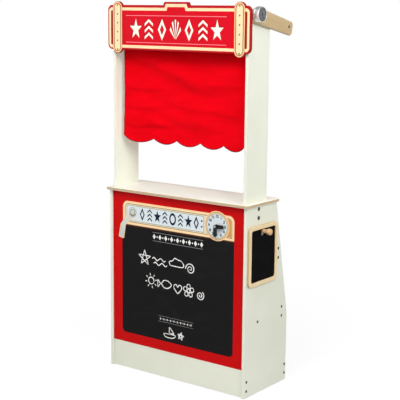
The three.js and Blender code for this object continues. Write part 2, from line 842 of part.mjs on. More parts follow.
function chalkboardFrame() {
  const back = chalkboardSetback + chalkboardWidth;
  const outline = roundedShape(
    rectangle(chalkboardSetback, frameBottom, back, chalkboardTop, chalkboardCornerRadius),
  );
  const window = rectangle(
    chalkboardSetback + chalkboardBorder, frameBottom + chalkboardBorder,
    back - chalkboardBorder, chalkboardTop - chalkboardBorder, slateCornerRadius,
  );
  const blank = standAcross(board(outline, chalkboardThickness), chalkboardInner);
  const opening = board(roundedShape(window), chalkboardThickness + 2 * overrun);
  return cut(blank, [standAcross(opening, chalkboardInner - overrun)]);
}

function chalkboardSlate() {
  const inset = chalkboardBorder + fit;
  const outline = roundedShape(rectangle(
    chalkboardSetback + inset, frameBottom + inset,
    chalkboardSetback + chalkboardWidth - inset, chalkboardTop - inset, slateCornerRadius,
  ));
  const blank = standAcross(board(outline, slateThickness), chalkboardInner);
  const slateFace = chalkboardInner + slateThickness;
  const hole = cylinderAlongX(
    hangHoleRadius, chalkboardInner - overrun, slateFace + overrun, pegY, holeZ, rodSides,
  );
  return cut(blank, [hole]);
}

function chalkboardPeg() {
  const base = -pegReach + fit;
  const head = -pegHeadLength;
  return layAlongX(turned([
    [0, base - sideThickness + fit],
    [pegTenonRadius, base - sideThickness + fit],
    [pegTenonRadius, base],
    [pegNeckRadius, base],
    [pegNeckRadius, head - pegEdgeRound],
    [pegHeadRadius - pegEdgeRound / 2, head - pegEdgeRound / 2],
    [pegHeadRadius, head + pegEdgeRound],
    [pegHeadRadius, -pegEdgeRound],
    [pegHeadRadius - pegEdgeRound / 2, -pegEdgeRound / 4],
    [pegHeadRadius - 2 * pegEdgeRound, 0],
    [0, 0],
  ], rodSides), sideOuter + pegReach, pegY, pegZ);
}

function pegBore() {
  return cylinderAlongX(pegTenonRadius + fit, sideInner - overrun, sideOuter + overrun, pegY, pegZ, rodSides);
}

// Clock hands turn round a pin in front of the panel: spacer, hour hand, minute hand, pin's head
const spacerFront = frontRecess - fit - clockSpacerLength;
const hourHandBack = spacerFront - fit;
const minuteHandBack = hourHandBack - handThickness - fit;
const pinHeadBack = minuteHandBack - handThickness - fit;
const clockNutFront = frontPanelBack + fit;
const clockNutBack = clockNutFront + clockNutHeight;

// A round-ended hand that points to +X from its pivot at the origin
function clockHand(length, backY) {
  const end = handWidth / 2;
  const outline = roundedShape(rectangle(-end, -end, length, end, roundEndShare * end));
  const blank = standFacing(board(outline, handThickness), backY);
  const bore = cylinderAlongY(
    clockPinRadius + fit, backY - handThickness - overrun, backY + overrun, 0, 0, screwSides,
  );
  return cut(blank, [bore]);
}

function clockSpacer() {
  const sleeve = cylinderAlongY(clockSpacerRadius, spacerFront, frontRecess - fit, 0, 0, rodSides);
  const bore = cylinderAlongY(
    clockPinRadius + fit, spacerFront - overrun, frontRecess + overrun, 0, 0, screwSides,
  );
  return cut(sleeve, [bore]);
}

function clockPin() {
  const shankFront = pinHeadBack - clockPinHeadHeight / 2;
  const shank = cylinderAlongY(clockPinRadius, shankFront, clockNutBack, 0, 0, screwSides);
  const head = cylinderAlongY(
    clockPinHeadRadius, pinHeadBack - clockPinHeadHeight, pinHeadBack, 0, 0, rodSides,
  );
  return join([shank, head]);
}

function clockNut() {
  const body = cylinderAlongY(clockNutRadius, clockNutFront, clockNutBack, 0, 0, 6);
  const bore = cylinderAlongY(
    clockPinRadius + fit, clockNutFront - overrun, clockNutBack + overrun, 0, 0, screwSides,
  );
  return cut(body, [bore]);
}

function cabinetGroup() {
  const group = new THREE.Group();
  const panel = sidePanel();
  const pegged = cut(panel, [pegBore()]);
  group.add(
    piece('side_panel_right', pegged, material.whitePaint),
    piece('side_panel_left', mirrored(panel), material.whitePaint),
    piece('front_panel', frontPanel(), material.redPrint),
    piece('kick_panel', crossBoard(
      frontRecess, frontRecess + kickThickness, floorClearance, kickTop, kickScrews,
    ), material.whitePaint),
    piece('counter_top', counter(), material.birchPly),
    piece('shelf', crossBoard(
      shelfFront, shelfBack, shelfTop - shelfThickness, shelfTop, shelfScrews,
    ), material.whitePaint),
    piece('shelf_rail', rail(shelfRail, shelfRailScrews), material.whitePaint),
    piece('upper_rail', rail(upperRail, upperRailScrews), material.whitePaint),
    piece('bottom_rail', rail(bottomRail, bottomRailScrews), material.whitePaint),
  );
  for (const [side, place] of sides) {
    panelScrews.forEach((at, i) => {
      group.add(piece(`panel_screw_${side}_${i + 1}`, place(panelScrew(at)), material.darkSteel));
    });
  }
  return group;
}

function upperFrameGroup() {
  const group = new THREE.Group();
  group.add(
    piece('header_sign', headerSign(), material.redPrint),
    piece('curtain_rod', curtainRod(), material.beech),
    piece('curtain', curtain(), material.curtain),
  );
  for (const [side, place] of sides) {
    group.add(
      piece(`upright_${side}`, place(upright()), material.whitePaint),
      piece(`sign_batten_${side}`, place(batten()), material.beech),
      piece(`rod_insert_${side}`, place(rodInsert()), material.brass),
    );
    boltHeights.forEach((z, i) => {
      group.add(piece(`upright_bolt_${side}_${i + 1}`, place(uprightBolt(z)), material.darkSteel));
    });
  }
  return group;
}

function awningArmsGroup() {
  const group = new THREE.Group();
  group.position.set(0, pivotY, pivotZ);
  group.rotation.x = -THREE.MathUtils.degToRad(armDroop);
  group.add(piece('arm_crossbar', crossbar(), material.beech));
  for (const [side, place] of sides) {
    const screw = smallScrew().translate(armOuter, crossbarReach, crossbarRise);
    group.add(
      piece(`arm_${side}`, place(arm()), material.beech),
      piece(`crossbar_screw_${side}`, place(screw), material.zinc),
    );
  }
  return group;
}

function knobsGroup() {
  const group = new THREE.Group();
  for (const [side, place] of sides) {
    group.add(
      piece(`knob_shell_${side}`, place(knobShell()), material.chrome),
      piece(`knob_cap_${side}`, place(knobCap()), material.greyCap),
      piece(`knob_stud_${side}`, place(knobStud()), material.zinc),
    );
  }
  return group;
}

function chalkboardGroup() {
  const group = new THREE.Group();
  group.add(
    piece('chalkboard_frame', chalkboardFrame(), material.birchPly),
    piece('chalkboard_slate', chalkboardSlate(), material.slate),
    piece('chalkboard_peg', chalkboardPeg(), material.beech),
  );
  return group;
}

function clockGroup() {
  const group = new THREE.Group();
  group.position.set(clockX, 0, clockZ);
  const hourHand = clockHand(hourHandLength, hourHandBack);
  const minuteHand = clockHand(minuteHandLength, minuteHandBack).rotateY(Math.PI / 2);
  group.add(
    piece('clock_hour_hand', hourHand, material.blackPlastic),
    piece('clock_minute_hand', minuteHand, material.blackPlastic),
    piece('clock_spacer', clockSpacer(), material.blackPlastic),
    piece('clock_pin', clockPin(), material.zinc),
    piece('clock_nut', clockNut(), material.zinc),
  );
  return group;
}

// The whole stand, moved so that the origin lies under the middle of its outer box
const stand = new THREE.Group();
stand.name = 'puppet_theatre_stand';
stand.position.set(-(sideOuter + pegReach - knobOuter) / 2, -(baseDepth - counterFrontOverhang) / 2, 0);
stand.add(
  cabinetGroup(),
  upperFrameGroup(),
  awningArmsGroup(),
  knobsGroup(),
  chalkboardGroup(),
  clockGroup(),
);

export default stand;
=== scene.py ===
"""Looks of the puppet theatre stand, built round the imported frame.

Lengths are millimetres in the part's own layout: X from the cabinet's middle, Y from its front edges, Z
from the floor. as_mesh() turns them into the frame's metres, which the materials and the room use.
"""

import json
import math

import bmesh
import bpy
from mathutils import Matrix, Vector, geometry, noise


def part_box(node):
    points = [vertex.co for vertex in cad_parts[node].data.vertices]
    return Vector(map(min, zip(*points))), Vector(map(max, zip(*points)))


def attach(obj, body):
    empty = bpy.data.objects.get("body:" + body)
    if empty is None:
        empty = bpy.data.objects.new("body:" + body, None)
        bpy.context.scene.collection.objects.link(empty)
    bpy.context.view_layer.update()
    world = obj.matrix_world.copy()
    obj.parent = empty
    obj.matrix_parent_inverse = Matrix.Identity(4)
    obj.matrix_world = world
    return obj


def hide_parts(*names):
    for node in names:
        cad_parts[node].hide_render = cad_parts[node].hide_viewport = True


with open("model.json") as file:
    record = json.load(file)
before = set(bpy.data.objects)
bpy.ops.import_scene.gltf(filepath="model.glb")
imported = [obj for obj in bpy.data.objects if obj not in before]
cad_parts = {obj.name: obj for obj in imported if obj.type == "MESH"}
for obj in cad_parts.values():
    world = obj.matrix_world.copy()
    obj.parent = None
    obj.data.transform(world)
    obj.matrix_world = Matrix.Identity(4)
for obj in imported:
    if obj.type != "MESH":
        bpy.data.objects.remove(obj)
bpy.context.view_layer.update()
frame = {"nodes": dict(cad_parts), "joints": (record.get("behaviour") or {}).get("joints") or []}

MM = 0.001
GAP = 0.3
SIDES = (("right", 1), ("left", -1))
sign_ends = [corner.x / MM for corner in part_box("header_sign")]
SHIFT = Vector((sum(sign_ends) / 2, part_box("side_panel_right")[0].y / MM, 0))
TO_FRAME = Matrix.Scale(MM, 4) @ Matrix.Translation(SHIFT)


def box(node):
    """A node's lowest and highest corner in the part's own layout"""
    return [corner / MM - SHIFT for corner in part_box(node)]


def middle(node):
    lo, hi = box(node)
    return (lo + hi) / 2


# Materials

NO_TURN, FULL_LIGHT = (0, 0, 0), (1.0, 1.0, 1.0, 1.0)


def srgb(tone):
    """Linear light of a tone in steps from 0 to 255"""
    shares = [step / 255 for step in tone]
    return (*(s / 12.92 if s <= 0.04045 else ((s + 0.055) / 1.055) ** 2.4 for s in shares), 1.0)


def shaded(color, share):
    return (*(min(1.0, value * share) for value in color[:3]), 1.0)


class Nodes:
    """The shader nodes of a material or of the world, while they are wired"""

    def __init__(self, owner):
        owner.use_nodes = True
        self.tree = owner.node_tree

    def join(self, value, socket):
        if isinstance(value, bpy.types.NodeSocket):
            self.tree.links.new(value, socket)
        else:
            socket.default_value = value

    def add(self, kind, inputs=None, **props):
        node = self.tree.nodes.new("ShaderNode" + kind)
        for prop, value in props.items():
            setattr(node, prop, value)
        for socket, value in (inputs or {}).items():
            self.join(value, node.inputs[socket])
        return node

    def math(self, operation, first, second=0.0, clamp=False):
        return self.add("Math", {0: first, 1: second}, operation=operation, use_clamp=clamp).outputs[0]

    def times(self, first, second):
        return self.math("MULTIPLY", first, second)

    def span(self, value, start, end, low=0.0, high=1.0):
        inputs = {"Value": value, "From Min": start, "From Max": end, "To Min": low, "To Max": high}
        return self.add("MapRange", inputs).outputs["Result"]

    def ramp(self, value, stops, interpolation="LINEAR"):
        node = self.add("ValToRGB", {"Fac": value})
        node.color_ramp.interpolation = interpolation
        elements = node.color_ramp.elements
        while len(elements) < len(stops):
            elements.new(0.5)
        for element, (position, color) in zip(elements, stops):
            element.position = position
            element.color = color
        return node.outputs["Color"]

    def mix(self, value, first, second):
        return self.add("Mix", {0: value, 6: first, 7: second}, data_type="RGBA").outputs[2]


class Finish(Nodes):
    """A material, with sockets of the principled shader as named values"""

    def __init__(self, name, **fixed):
        self.material = bpy.data.materials.new(name)
        super().__init__(self.material)
        self.shader = self.tree.nodes["Principled BSDF"]
        self.place = self.add("TexCoord").outputs["Object"]
        self.wire(**fixed)

    def wire(self, **sockets):
        for socket, value in sockets.items():
            self.join(value, self.shader.inputs[socket.replace("_", " ")])
        return self.material

    def stretched(self, scale, turn=NO_TURN, source=None):
        inputs = {"Vector": source or self.place, "Scale": scale, "Rotation": turn}
        return self.add("Mapping", inputs).outputs["Vector"]

    def noise(self, scale, detail=2.0, source=None, distortion=0.0):
        inputs = {"Vector": source or self.place, "Scale": scale, "Detail": detail, "Distortion": distortion}
        return self.add("TexNoise", inputs).outputs["Fac"]

    def vary(self, value, low, high):
        """The middle of a noise's range, spread over a range of roughness"""
        return self.span(value, 0.3, 0.7, low, high)

    def shades(self, value, dark, light, start=0.3, end=0.7):
        return self.ramp(value, ((start, dark), (end, light)))

    def done(self, color, rough, height, distance):
        return self.wire(Base_Color=color, Roughness=rough, Normal=self.bump(height, distance))

    def spots(self, color, mask, start, end, share, tone):
        """Lays a share of a tone over the color, where the mask goes from start to end"""
        return self.mix(self.times(self.span(mask, start, end), share), color, srgb(tone))

    def bump(self, height, distance, strength=1.0, normal=None):
        inputs = {"Height": height, "Distance": distance, "Strength": strength}
        if normal is not None:
            inputs["Normal"] = normal
        return self.add("Bump", inputs).outputs["Normal"]


def painted(name, tone, deep, roughness=0.42, chips=None):
    """Sprayed satin paint: broad shade drift, fine orange peel, faint scuffs and, on edges, rare chips"""
    finish = Finish(name, Specular_IOR_Level=0.4)
    color = finish.shades(finish.noise(5.0, 3.0), srgb(deep), srgb(tone), 0.32, 0.68)
    scuff = finish.noise(30.0, 4.0, finish.stretched((1.0, 1.0, 0.25)), 0.6)
    color = finish.spots(color, scuff, 0.66, 0.74, 0.10, (150, 148, 138))
    if chips:
        color = finish.spots(color, finish.noise(160.0, 5.0), 0.64, 0.67, 0.75, chips)
    rough = finish.vary(finish.noise(45.0, 3.0), roughness - 0.05, roughness + 0.07)
    return finish.done(color, rough, finish.noise(700.0), 0.00006)


def printed(name, tone, drift=0.05):
    """Ink under a thin satin film: slight drift of density, fine grain and film texture"""
    finish = Finish(name, Specular_IOR_Level=0.07)
    thin, dense = shaded(srgb(tone), 1 + drift), shaded(srgb(tone), 1 - drift)
    color = finish.shades(finish.noise(7.0, 3.0), dense, thin)
    color = finish.mix(finish.vary(finish.noise(1500.0, 1.0), 0.0, 0.06), color, dense)
    rough = finish.vary(finish.noise(60.0), 0.38, 0.48)
    return finish.done(color, rough, finish.noise(600.0), 0.00004)


def chalkboard_black(name, tone):
    """Matt black board with wiped chalk dust in broad slanting smears"""
    finish = Finish(name, Specular_IOR_Level=0.03)
    smear = finish.noise(9.0, 6.0, finish.stretched((1.0, 1.0, 2.6), (0.5, 0.35, 0.3)), 1.2)
    color = finish.spots(srgb(tone), smear, 0.50, 0.78, 0.014, (150, 150, 150))
    color = finish.spots(color, finish.noise(900.0), 0.62, 0.75, 0.02, (120, 120, 120))
    return finish.done(color, finish.span(smear, 0.3, 0.8, 0.62, 0.84), finish.noise(1100.0), 0.00005)


def chalky(name):
    finish = Finish(name, Specular_IOR_Level=0.1)
    grain = finish.span(finish.noise(620.0, 4.0), 0.30, 0.46)
    patch = finish.span(finish.noise(60.0, 3.0), 0.3, 0.55, 0.8, 1.0)
    color = finish.mix(finish.times(grain, patch), srgb((96, 96, 96)), srgb((254, 254, 250)))
    return finish.done(color, 0.95, grain, 0.00012)


def grained(name, tone, deep, fleck, along, turn=NO_TURN, fleck_share=0.5):
    """Lacquered wood: long soft figure and short pores along an axis, after an optional turn"""
    finish = Finish(name, Specular_IOR_Level=0.4, Coat_Weight=0.12, Coat_Roughness=0.3)
    place = finish.stretched((1, 1, 1), turn)
    figure_scale, pore_scale = [[1.0 if axis == along else tight for axis in "xyz"] for tight in (9.0, 16.0)]
    figure = finish.noise(9.0, 5.0, finish.stretched(figure_scale, source=place), 0.7)
    color = finish.shades(figure, srgb(deep), srgb(tone))
    pore = finish.noise(70.0, 3.0, finish.stretched(pore_scale, source=place))
    color = finish.spots(color, pore, 0.58, 0.70, fleck_share, fleck)
    return finish.done(color, finish.vary(figure, 0.39, 0.51), pore, 0.00008)


def plies(name, axis, node, light, dark, count):
    """The edge of plywood: alternating veneers across the node's thickness, which lies along an axis"""
    finish = Finish(name, Specular_IOR_Level=0.35)
    wobble = finish.span(finish.noise(45.0), 0.0, 1.0, -0.00025, 0.00025)
    depth = finish.add("SeparateXYZ", {0: finish.place}).outputs[axis]
    start, end = [corner[axis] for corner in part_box(node)]
    share = finish.span(finish.math("ADD", depth, wobble), start, end)
    stops = [(i / count, srgb(dark if i % 2 else light)) for i in range(count)]
    fibre = finish.noise(420.0, 4.0)
    color = finish.spots(finish.ramp(share, stops, "CONSTANT"), fibre, 0.45, 0.7, 0.35, dark)
    return finish.done(color, 0.55, fibre, 0.0001)


def turned_metal(name, color, roughness, pitch, depth, metallic, cloud_scale, cloud_deep):
    """Metal turned round the clamp knobs' axis: fine rings, and slight cloudiness of the shine"""
    finish = Finish(name, Metallic=metallic)
    away = finish.add("VectorMath", {0: finish.place, 1: PIVOT}, operation="SUBTRACT").outputs[0]
    flat = finish.add("VectorMath", {0: away, 1: (0, 1, 1)}, operation="MULTIPLY").outputs[0]
    radius = finish.add("VectorMath", {0: flat}, operation="LENGTH").outputs["Value"]
    rings = finish.math("SINE", finish.times(radius, 2 * math.pi / pitch))
    cloud = finish.noise(cloud_scale, 4.0)
    tint = finish.shades(cloud, shaded(color, cloud_deep), shaded(color, 1), 0.35, 0.65)
    return finish.done(tint, finish.vary(cloud, roughness * 0.92, roughness * 1.1), rings, depth)


def plain_metal(name, color, roughness):
    finish = Finish(name, Metallic=1.0)
    cloud = finish.noise(500.0, 4.0)
    tint = finish.shades(cloud, shaded(color, 0.6), shaded(color, 1))
    return finish.done(tint, finish.vary(cloud, roughness * 0.8, roughness * 1.3), cloud, 0.00003)


def moulded(name, tone, light, roughness):
    finish = Finish(name, Specular_IOR_Level=0.25)
    color = finish.shades(finish.noise(90.0, 3.0), srgb(tone), srgb(light), end=0.8)
    rough = finish.vary(finish.noise(160.0, 3.0), roughness - 0.05, roughness + 0.08)
    return finish.done(color, rough, finish.noise(900.0), 0.00005)


def woven(name, tone, deep):
    """Plain-woven cotton with warp and weft on the cloth's own lengthwise and crosswise measure"""
    finish = Finish(name, Sheen_Weight=0.01, Sheen_Roughness=0.5, Specular_IOR_Level=0.02)
    split = finish.add("SeparateXYZ", {0: finish.add("UVMap", uv_map="cloth").outputs["UV"]})
    pitch = 2 * math.pi / 0.0011
    warp, weft = [finish.math("SINE", finish.times(split.outputs[i], pitch)) for i in (0, 1)]
    slub = finish.noise(210.0, 3.0, finish.stretched((1.0, 1.0, 7.0)))
    shade = finish.noise(11.0, 4.0, finish.stretched((0.6, 1.0, 2.0)), 0.5)
    color = finish.shades(shade, srgb(deep), srgb(tone))
    color = finish.spots(color, slub, 0.5, 0.8, 0.18, deep)
    normal = finish.bump(finish.times(warp, weft), 0.00012, 0.6, finish.bump(slub, 0.0002))
    return finish.wire(Base_Color=color, Roughness=finish.vary(slub, 0.82, 0.95), Normal=normal)


PIVOT = [joint for joint in frame["joints"] if joint["name"] == "awning_tilt"][0]["pos_m"]
DROOP = math.radians(12.4)
ARM_GRAIN = {"along": "y", "turn": (DROOP, 0, 0)}
X_AXIS, Z_AXIS = 0, 2
PRINT_TONES = {
    "sign_red": (210, 7, 30), "sign_rim": (184, 18, 30), "sign_slot": (150, 36, 20),
    "cream": (247, 220, 176), "peach": (252, 198, 146), "band_line": (168, 106, 64),
    "plate_cream": (250, 216, 170), "infill": (228, 218, 194), "gold": (206, 148, 90),
    "olive": (146, 132, 88), "brown": (120, 74, 46), "rule": (252, 138, 150), "pale": (216, 225, 228),
    "grey": (150, 148, 142), "navy": (16, 32, 52), "shade": (128, 6, 34), "off_white": (226, 226, 222),
    "off_cream": (255, 240, 224), "rule_pale": (150, 150, 148), "shadow": (66, 40, 24),
}
looks = {
    **{look: printed("print_" + look, tone) for look, tone in PRINT_TONES.items()},
    "red": printed("print_front_red", (197, 8, 11)),
    # The sign's edges: dark red paint, darkened further by painted shade on the edges
    "sign_edge_shaded": printed("paint_sign_edge_shaded", (158, 18, 28), 0.12),
    "ribbon": printed("print_ribbon", (196, 200, 190), 0.2),
    "white": painted("paint_white", (231, 233, 217), (223, 225, 208)),
    "white_edge": painted("paint_white_edge", (233, 234, 220), (222, 223, 206), 0.45, (198, 182, 150)),
    "board": chalkboard_black("print_chalkboard", (28, 27, 28)),
    "slate": chalkboard_black("slate_black", (6, 6, 6)),
    "chalk": chalky("chalk_marks"),
    "counter": grained("ply_counter", (239, 236, 227), (232, 226, 212), (216, 202, 178), "x", NO_TURN, 0.3),
    "counter_edge": plies("ply_counter_edge", Z_AXIS, "counter_top", (214, 196, 160), (168, 140, 98), 7),
    "frame": grained("ply_frame", (239, 215, 172), (226, 200, 154), (194, 163, 115), "z", NO_TURN, 0.4),
    "frame_edge": plies("ply_frame_edge", X_AXIS, "chalkboard_frame", (220, 196, 154), (172, 140, 96), 5),
    "beech_x": grained("beech_rods", (212, 178, 128), (196, 160, 108), (150, 108, 66), "x"),
    "beech_y": grained("beech_arms", (193, 165, 117), (178, 150, 102), (142, 106, 62), **ARM_GRAIN),
    # The arms' eased edges: a greyer copy of the arms' beech, painted shading of the rounded edges
    "arm_edge_shading": grained("beech_arm_edges_shading", (184, 164, 130), (166, 146, 112), (134, 110, 76), **ARM_GRAIN),
    "beech_z": grained("beech_battens", (208, 174, 124), (192, 156, 104), (150, 108, 66), "z"),
    "peg": grained("beech_peg", (224, 184, 138), (206, 164, 116), (160, 116, 76), "x"),
    "chrome": turned_metal("chrome_shell", (0.88, 0.89, 0.90), 0.40, 0.0006, 0.000004, 1.0, 300.0, 0.94),
    "cap": turned_metal("turned_cap", (0.13, 0.14, 0.14), 0.34, 0.0011, 0.00006, 0.8, 170.0, 0.35),
    "steel": plain_metal("screw_black", (0.085, 0.078, 0.07), 0.38),
    "zinc": plain_metal("screw_zinc", (0.56, 0.56, 0.54), 0.28),
    "yellow_zinc": plain_metal("screw_yellow", (0.26, 0.15, 0.05), 0.4),
    # Near-black finish for the shallow dimple in each knob cap: painted shade standing for a deep hole
    "dimple_shade": plain_metal("cap_dimple_shade", (0.02, 0.02, 0.022), 0.6),
    "brass": plain_metal("insert_brass", (0.60, 0.42, 0.15), 0.3),
    "black": moulded("hand_black", (11, 12, 15), (20, 21, 24), 0.38),
    "curtain": woven("curtain_cotton", (238, 2, 21), (222, 1, 15)),
    "thread": woven("curtain_thread", (196, 3, 10), (172, 2, 8)),
    # The rolled edge: the cloth made far darker, painted shade along the turned edge
    "hem": woven("curtain_hem_shaded", (118, 1, 8), (100, 0, 6)),
}


# Pieces of a mesh

WELD, NODE_WELD, FLAT_ANGLE, BEVEL_ANGLE = 0.0005, 1e-6, math.radians(1.0), math.radians(40)
FRONT_NORMAL, FRONT_FINISH = -0.6, 2


def plain_mesh(bm):
    mesh = bpy.data.meshes.new("shape")
    bm.to_mesh(mesh)
    bm.free()
    return mesh


def as_mesh(bm, weld=True):
    """A bmesh in the part's own millimetres as a mesh in the frame's metres"""
    if weld:
        bmesh.ops.remove_doubles(bm, verts=bm.verts, dist=WELD)
    bmesh.ops.recalc_face_normals(bm, faces=bm.faces)
    mesh = plain_mesh(bm)
    mesh.transform(TO_FRAME)
    return mesh


def placed(name, data):
    thing = bpy.data.objects.new(name, data)
    bpy.context.scene.collection.objects.link(thing)
    return thing


def modify(thing, name, kind, **settings):
    modifier = thing.modifiers.new(name, kind)
    for setting, value in settings.items():
        setattr(modifier, setting, value)


def finished(name, shape, finishes, node=None, body="stand", smooth=30.0, weld=True, level=True):
    """Makes a piece, in place of a node where one is given, of a bmesh in millimetres or a mesh in metres"""
    mesh = shape if isinstance(shape, bpy.types.Mesh) else as_mesh(shape, weld)
    mesh.name = name
    for finish in finishes[len(mesh.materials):]:
        mesh.materials.append(looks[finish])
    mesh.shade_smooth()
    mesh.set_sharp_from_angle(angle=math.radians(smooth))
    piece = placed(name, mesh)
    if level:
        modify(piece, "even_faces", "WEIGHTED_NORMAL", keep_sharp=True)
    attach(piece, body)
    if node:
        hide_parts(node)
    return piece


def eased_board(node, seats=None, width=0.7, finishes=("white", "white_edge")):
    """The node as a piece with softened edges. seats is a mesh cut out of it first, and a third finish is
    for the faces that look to the front"""
    bm = bmesh.new()
    bm.from_mesh(frame["nodes"][node].data)
    bmesh.ops.remove_doubles(bm, verts=bm.verts, dist=NODE_WELD)
    bmesh.ops.dissolve_limit(bm, angle_limit=FLAT_ANGLE, verts=bm.verts, edges=bm.edges)
    mesh = plain_mesh(bm)
    for finish in finishes:
        mesh.materials.append(looks[finish])
    shape = placed(node + "_shape", mesh)
    helpers = [shape]
    if seats:
        cutter = placed(node + "_seats", seats)
        helpers.append(cutter)
        modify(shape, "seats", "BOOLEAN", operation="DIFFERENCE", solver="EXACT", object=cutter)
    modify(
        shape, "ease", "BEVEL", width=width * MM, segments=3, limit_method="ANGLE", angle_limit=BEVEL_ANGLE,
        use_clamp_overlap=False, material=1,
    )
    result = bpy.data.meshes.new_from_object(shape.evaluated_get(bpy.context.evaluated_depsgraph_get()))
    for helper in helpers:
        bpy.data.objects.remove(helper)
    if len(finishes) > FRONT_FINISH:
        for face in result.polygons:
            if face.normal.y < FRONT_NORMAL:
                face.material_index = FRONT_FINISH
    return finished(node + "_board", result, finishes, node)


# Outlines

ARC_STEP, LEAST_MITRE, ALMOST_ROUND = math.radians(7.5), 0.3, 0.995


def polar(a, b, radius, angle):
    return Vector((a + radius * math.cos(angle), b + radius * math.sin(angle)))


def circle(a, b, radius, count, turn=0.0):
    return [polar(a, b, radius, 2 * math.pi * k / count + turn) for k in range(count)]


def arc(a, b, radius, start, end, steps=20):
    return [polar(a, b, radius, math.radians(start + (end - start) * k / steps)) for k in range(steps + 1)]


def rounded(corners):
    """Points of an outline whose corners are (a, b, radius)"""
    points = []
    for i, (a, b, radius) in enumerate(corners):
        corner = Vector((a, b))
        if not radius:
            points.append(corner)
            continue
        before = (Vector(corners[i - 1][:2]) - corner).normalized()
        after = (Vector(corners[(i + 1) % len(corners)][:2]) - corner).normalized()
        half = before.angle(after) / 2
        center = corner + (before + after).normalized() * radius / math.sin(half)
        arm = corner + before * radius / math.tan(half) - center
        turn = (math.pi - 2 * half) * (1 if before.cross(after) < 0 else -1)
        steps = max(2, math.ceil(abs(turn) / ARC_STEP))
        points += [center + Matrix.Rotation(turn * k / steps, 2) @ arm for k in range(steps + 1)]
    return points


def rectangle(left, bottom, right, top, radius=0.0):
    corners = ((left, bottom), (right, bottom), (right, top), (left, top))
    return rounded([(*corner, radius) for corner in corners])


def moved(points, a, b, scale_a=1.0, scale_b=None):
    scale_b = scale_b or scale_a
    return [Vector((x * scale_a + a, y * scale_b + b)) for x, y in points]


def moved_in(points, distance):
    """The outline with each edge moved to its left by a distance"""
    result = []
    for i, here in enumerate(points):
        before = (here - points[i - 1]).normalized()
        after = (points[(i + 1) % len(points)] - here).normalized()
        tangent = (before + after).normalized()
        normal = Vector((-tangent.y, tangent.x))
        result.append(here + normal * distance / max(LEAST_MITRE, tangent.dot(after)))
    return result


def counter_clockwise(points):
    area = sum(p.cross(q) for p, q in zip(points, points[1:] + points[:1]))
    return points if area > 0 else points[::-1]


# Solids

HOLE_SIDES, TURNED_SIDES = 32, 48


def mirrored(bm, way):
    if way < 0:
        bm.transform(Matrix.Scale(-1, 4, (1, 0, 0)))


def bridge(bm, rings, finish=0):
    """Faces between each closed ring of vertices and the next"""
    for one, two in zip(rings, rings[1:]):
        for k in range(len(one)):
            bm.faces.new((one[k - 1], two[k - 1], two[k], one[k])).material_index = finish


def cap(bm, rings, finish=0):
    """Closes an outline with its holes. Each ring is a pair of its vertices and their flat places"""
    verts = [vert for ring, _ in rings for vert in ring]
    for triangle in geometry.tessellate_polygon([[p.to_3d() for p in places] for _, places in rings]):
        corners = [verts[i] for i in triangle]
        if len(set(corners)) == 3:
            bm.faces.new(corners).material_index = finish


def slab(bm, axis, outline, bottom, top, ease=0.0, holes=(), finishes=(0, 0, 0, 0), steps=3):
    """A board with eased edges. bottom and top lie along its thickness. A hole is an outline, or
    (a, b, bore radius, seat radius, seat depth), and the last two may be left out. finishes index the
    faces at the top and bottom, the walls and the eased edges"""
    turns = [math.pi / 2 * k / steps for k in range(steps + 1)] if ease else [math.pi / 2]
    easing = [(ease * (1 - math.sin(turn)), ease * (1 - math.cos(turn))) for turn in turns]
    upper = [(inset, top - drop) for inset, drop in easing]
    lower = [(inset, bottom + drop) for inset, drop in reversed(easing)]
    outer = counter_clockwise(outline)
    walls = [[(moved_in(outer, inset), height) for inset, height in upper + lower]]
    for hole in holes:
        if isinstance(hole, tuple):
            a, b, bore, *seat = hole
            seat_radius, depth = seat or (bore, 0)
            rows = [(seat_radius + inset, height) for inset, height in upper]
            if seat_radius > bore:
                rows += [(seat_radius, top - depth), (bore, top - depth)]
            rows += [(bore + inset, height) for inset, height in lower]
            walls.append([(circle(a, b, radius, HOLE_SIDES)[::-1], height) for radius, height in rows])
        else:
            inner = counter_clockwise(hole)[::-1]
            walls.append([(moved_in(inner, inset), height) for inset, height in upper + lower])
    tops, bottoms = [], []
    for wall in walls:
        rings = []
        for points, h in wall:
            spots = [{"x": (h, p.x, p.y), "front": (p.x, -h, p.y), "z": (p.x, p.y, h)}[axis] for p in points]
            rings.append([bm.verts.new(spot) for spot in spots])
        for k in range(len(rings) - 1):
            is_eased = ease and (k < steps or k >= len(rings) - 1 - steps)
            bridge(bm, rings[k:k + 2], finishes[3 if is_eased else 2])
        tops.append((rings[0], wall[0][0]))
        bottoms.append((rings[-1], wall[-1][0]))
    cap(bm, tops, finishes[0])
    cap(bm, bottoms, finishes[1])


def lathe(bm, profile, center, axis="x", sides=TURNED_SIDES, way=1):
    """Turns (radius, distance along the axis) pairs round an axis through center. A profile that starts
    and ends off the axis is closed into a ring"""
    rings = []
    for radius, along in profile:
        around = circle(0, 0, radius, sides)
        spots = [(way * along, p.x, p.y) if axis == "x" else (p.x, way * along, p.y) for p in around]
        rings.append([bm.verts.new(Vector(center) + Vector(spot)) for spot in spots])
    is_ring = profile[0][0] > 0 and profile[-1][0] > 0
    bridge(bm, rings + rings[:1] if is_ring else rings)
    return rings


def tube(radius, bore, start, end, ease):
    """The profile of a round bar with a bore and eased ends"""
    return [
        (bore, start), (radius - ease, start), (radius, start + ease), (radius, end - ease),
        (radius - ease, end), (bore, end),
    ]


def heading(path, i):
    return (path[min(i + 1, len(path) - 1)] - path[max(i - 1, 0)]).normalized()


def sweep(bm, path, radius, sides):
    """A closed tube along a path of vectors, with its ends capped"""
    rings = []
    for i, here in enumerate(path):
        ahead = heading(path, i)
        side = ahead.cross(Vector((0, 1, 0)) if abs(ahead.y) < 0.9 else Vector((0, 0, 1))).normalized()
        up = side.cross(ahead)
        rings.append([bm.verts.new(here + side * p.x + up * p.y) for p in circle(0, 0, radius, sides)])
    bridge(bm, rings)
    for end in (rings[0], rings[-1]):
        bm.faces.new(end)


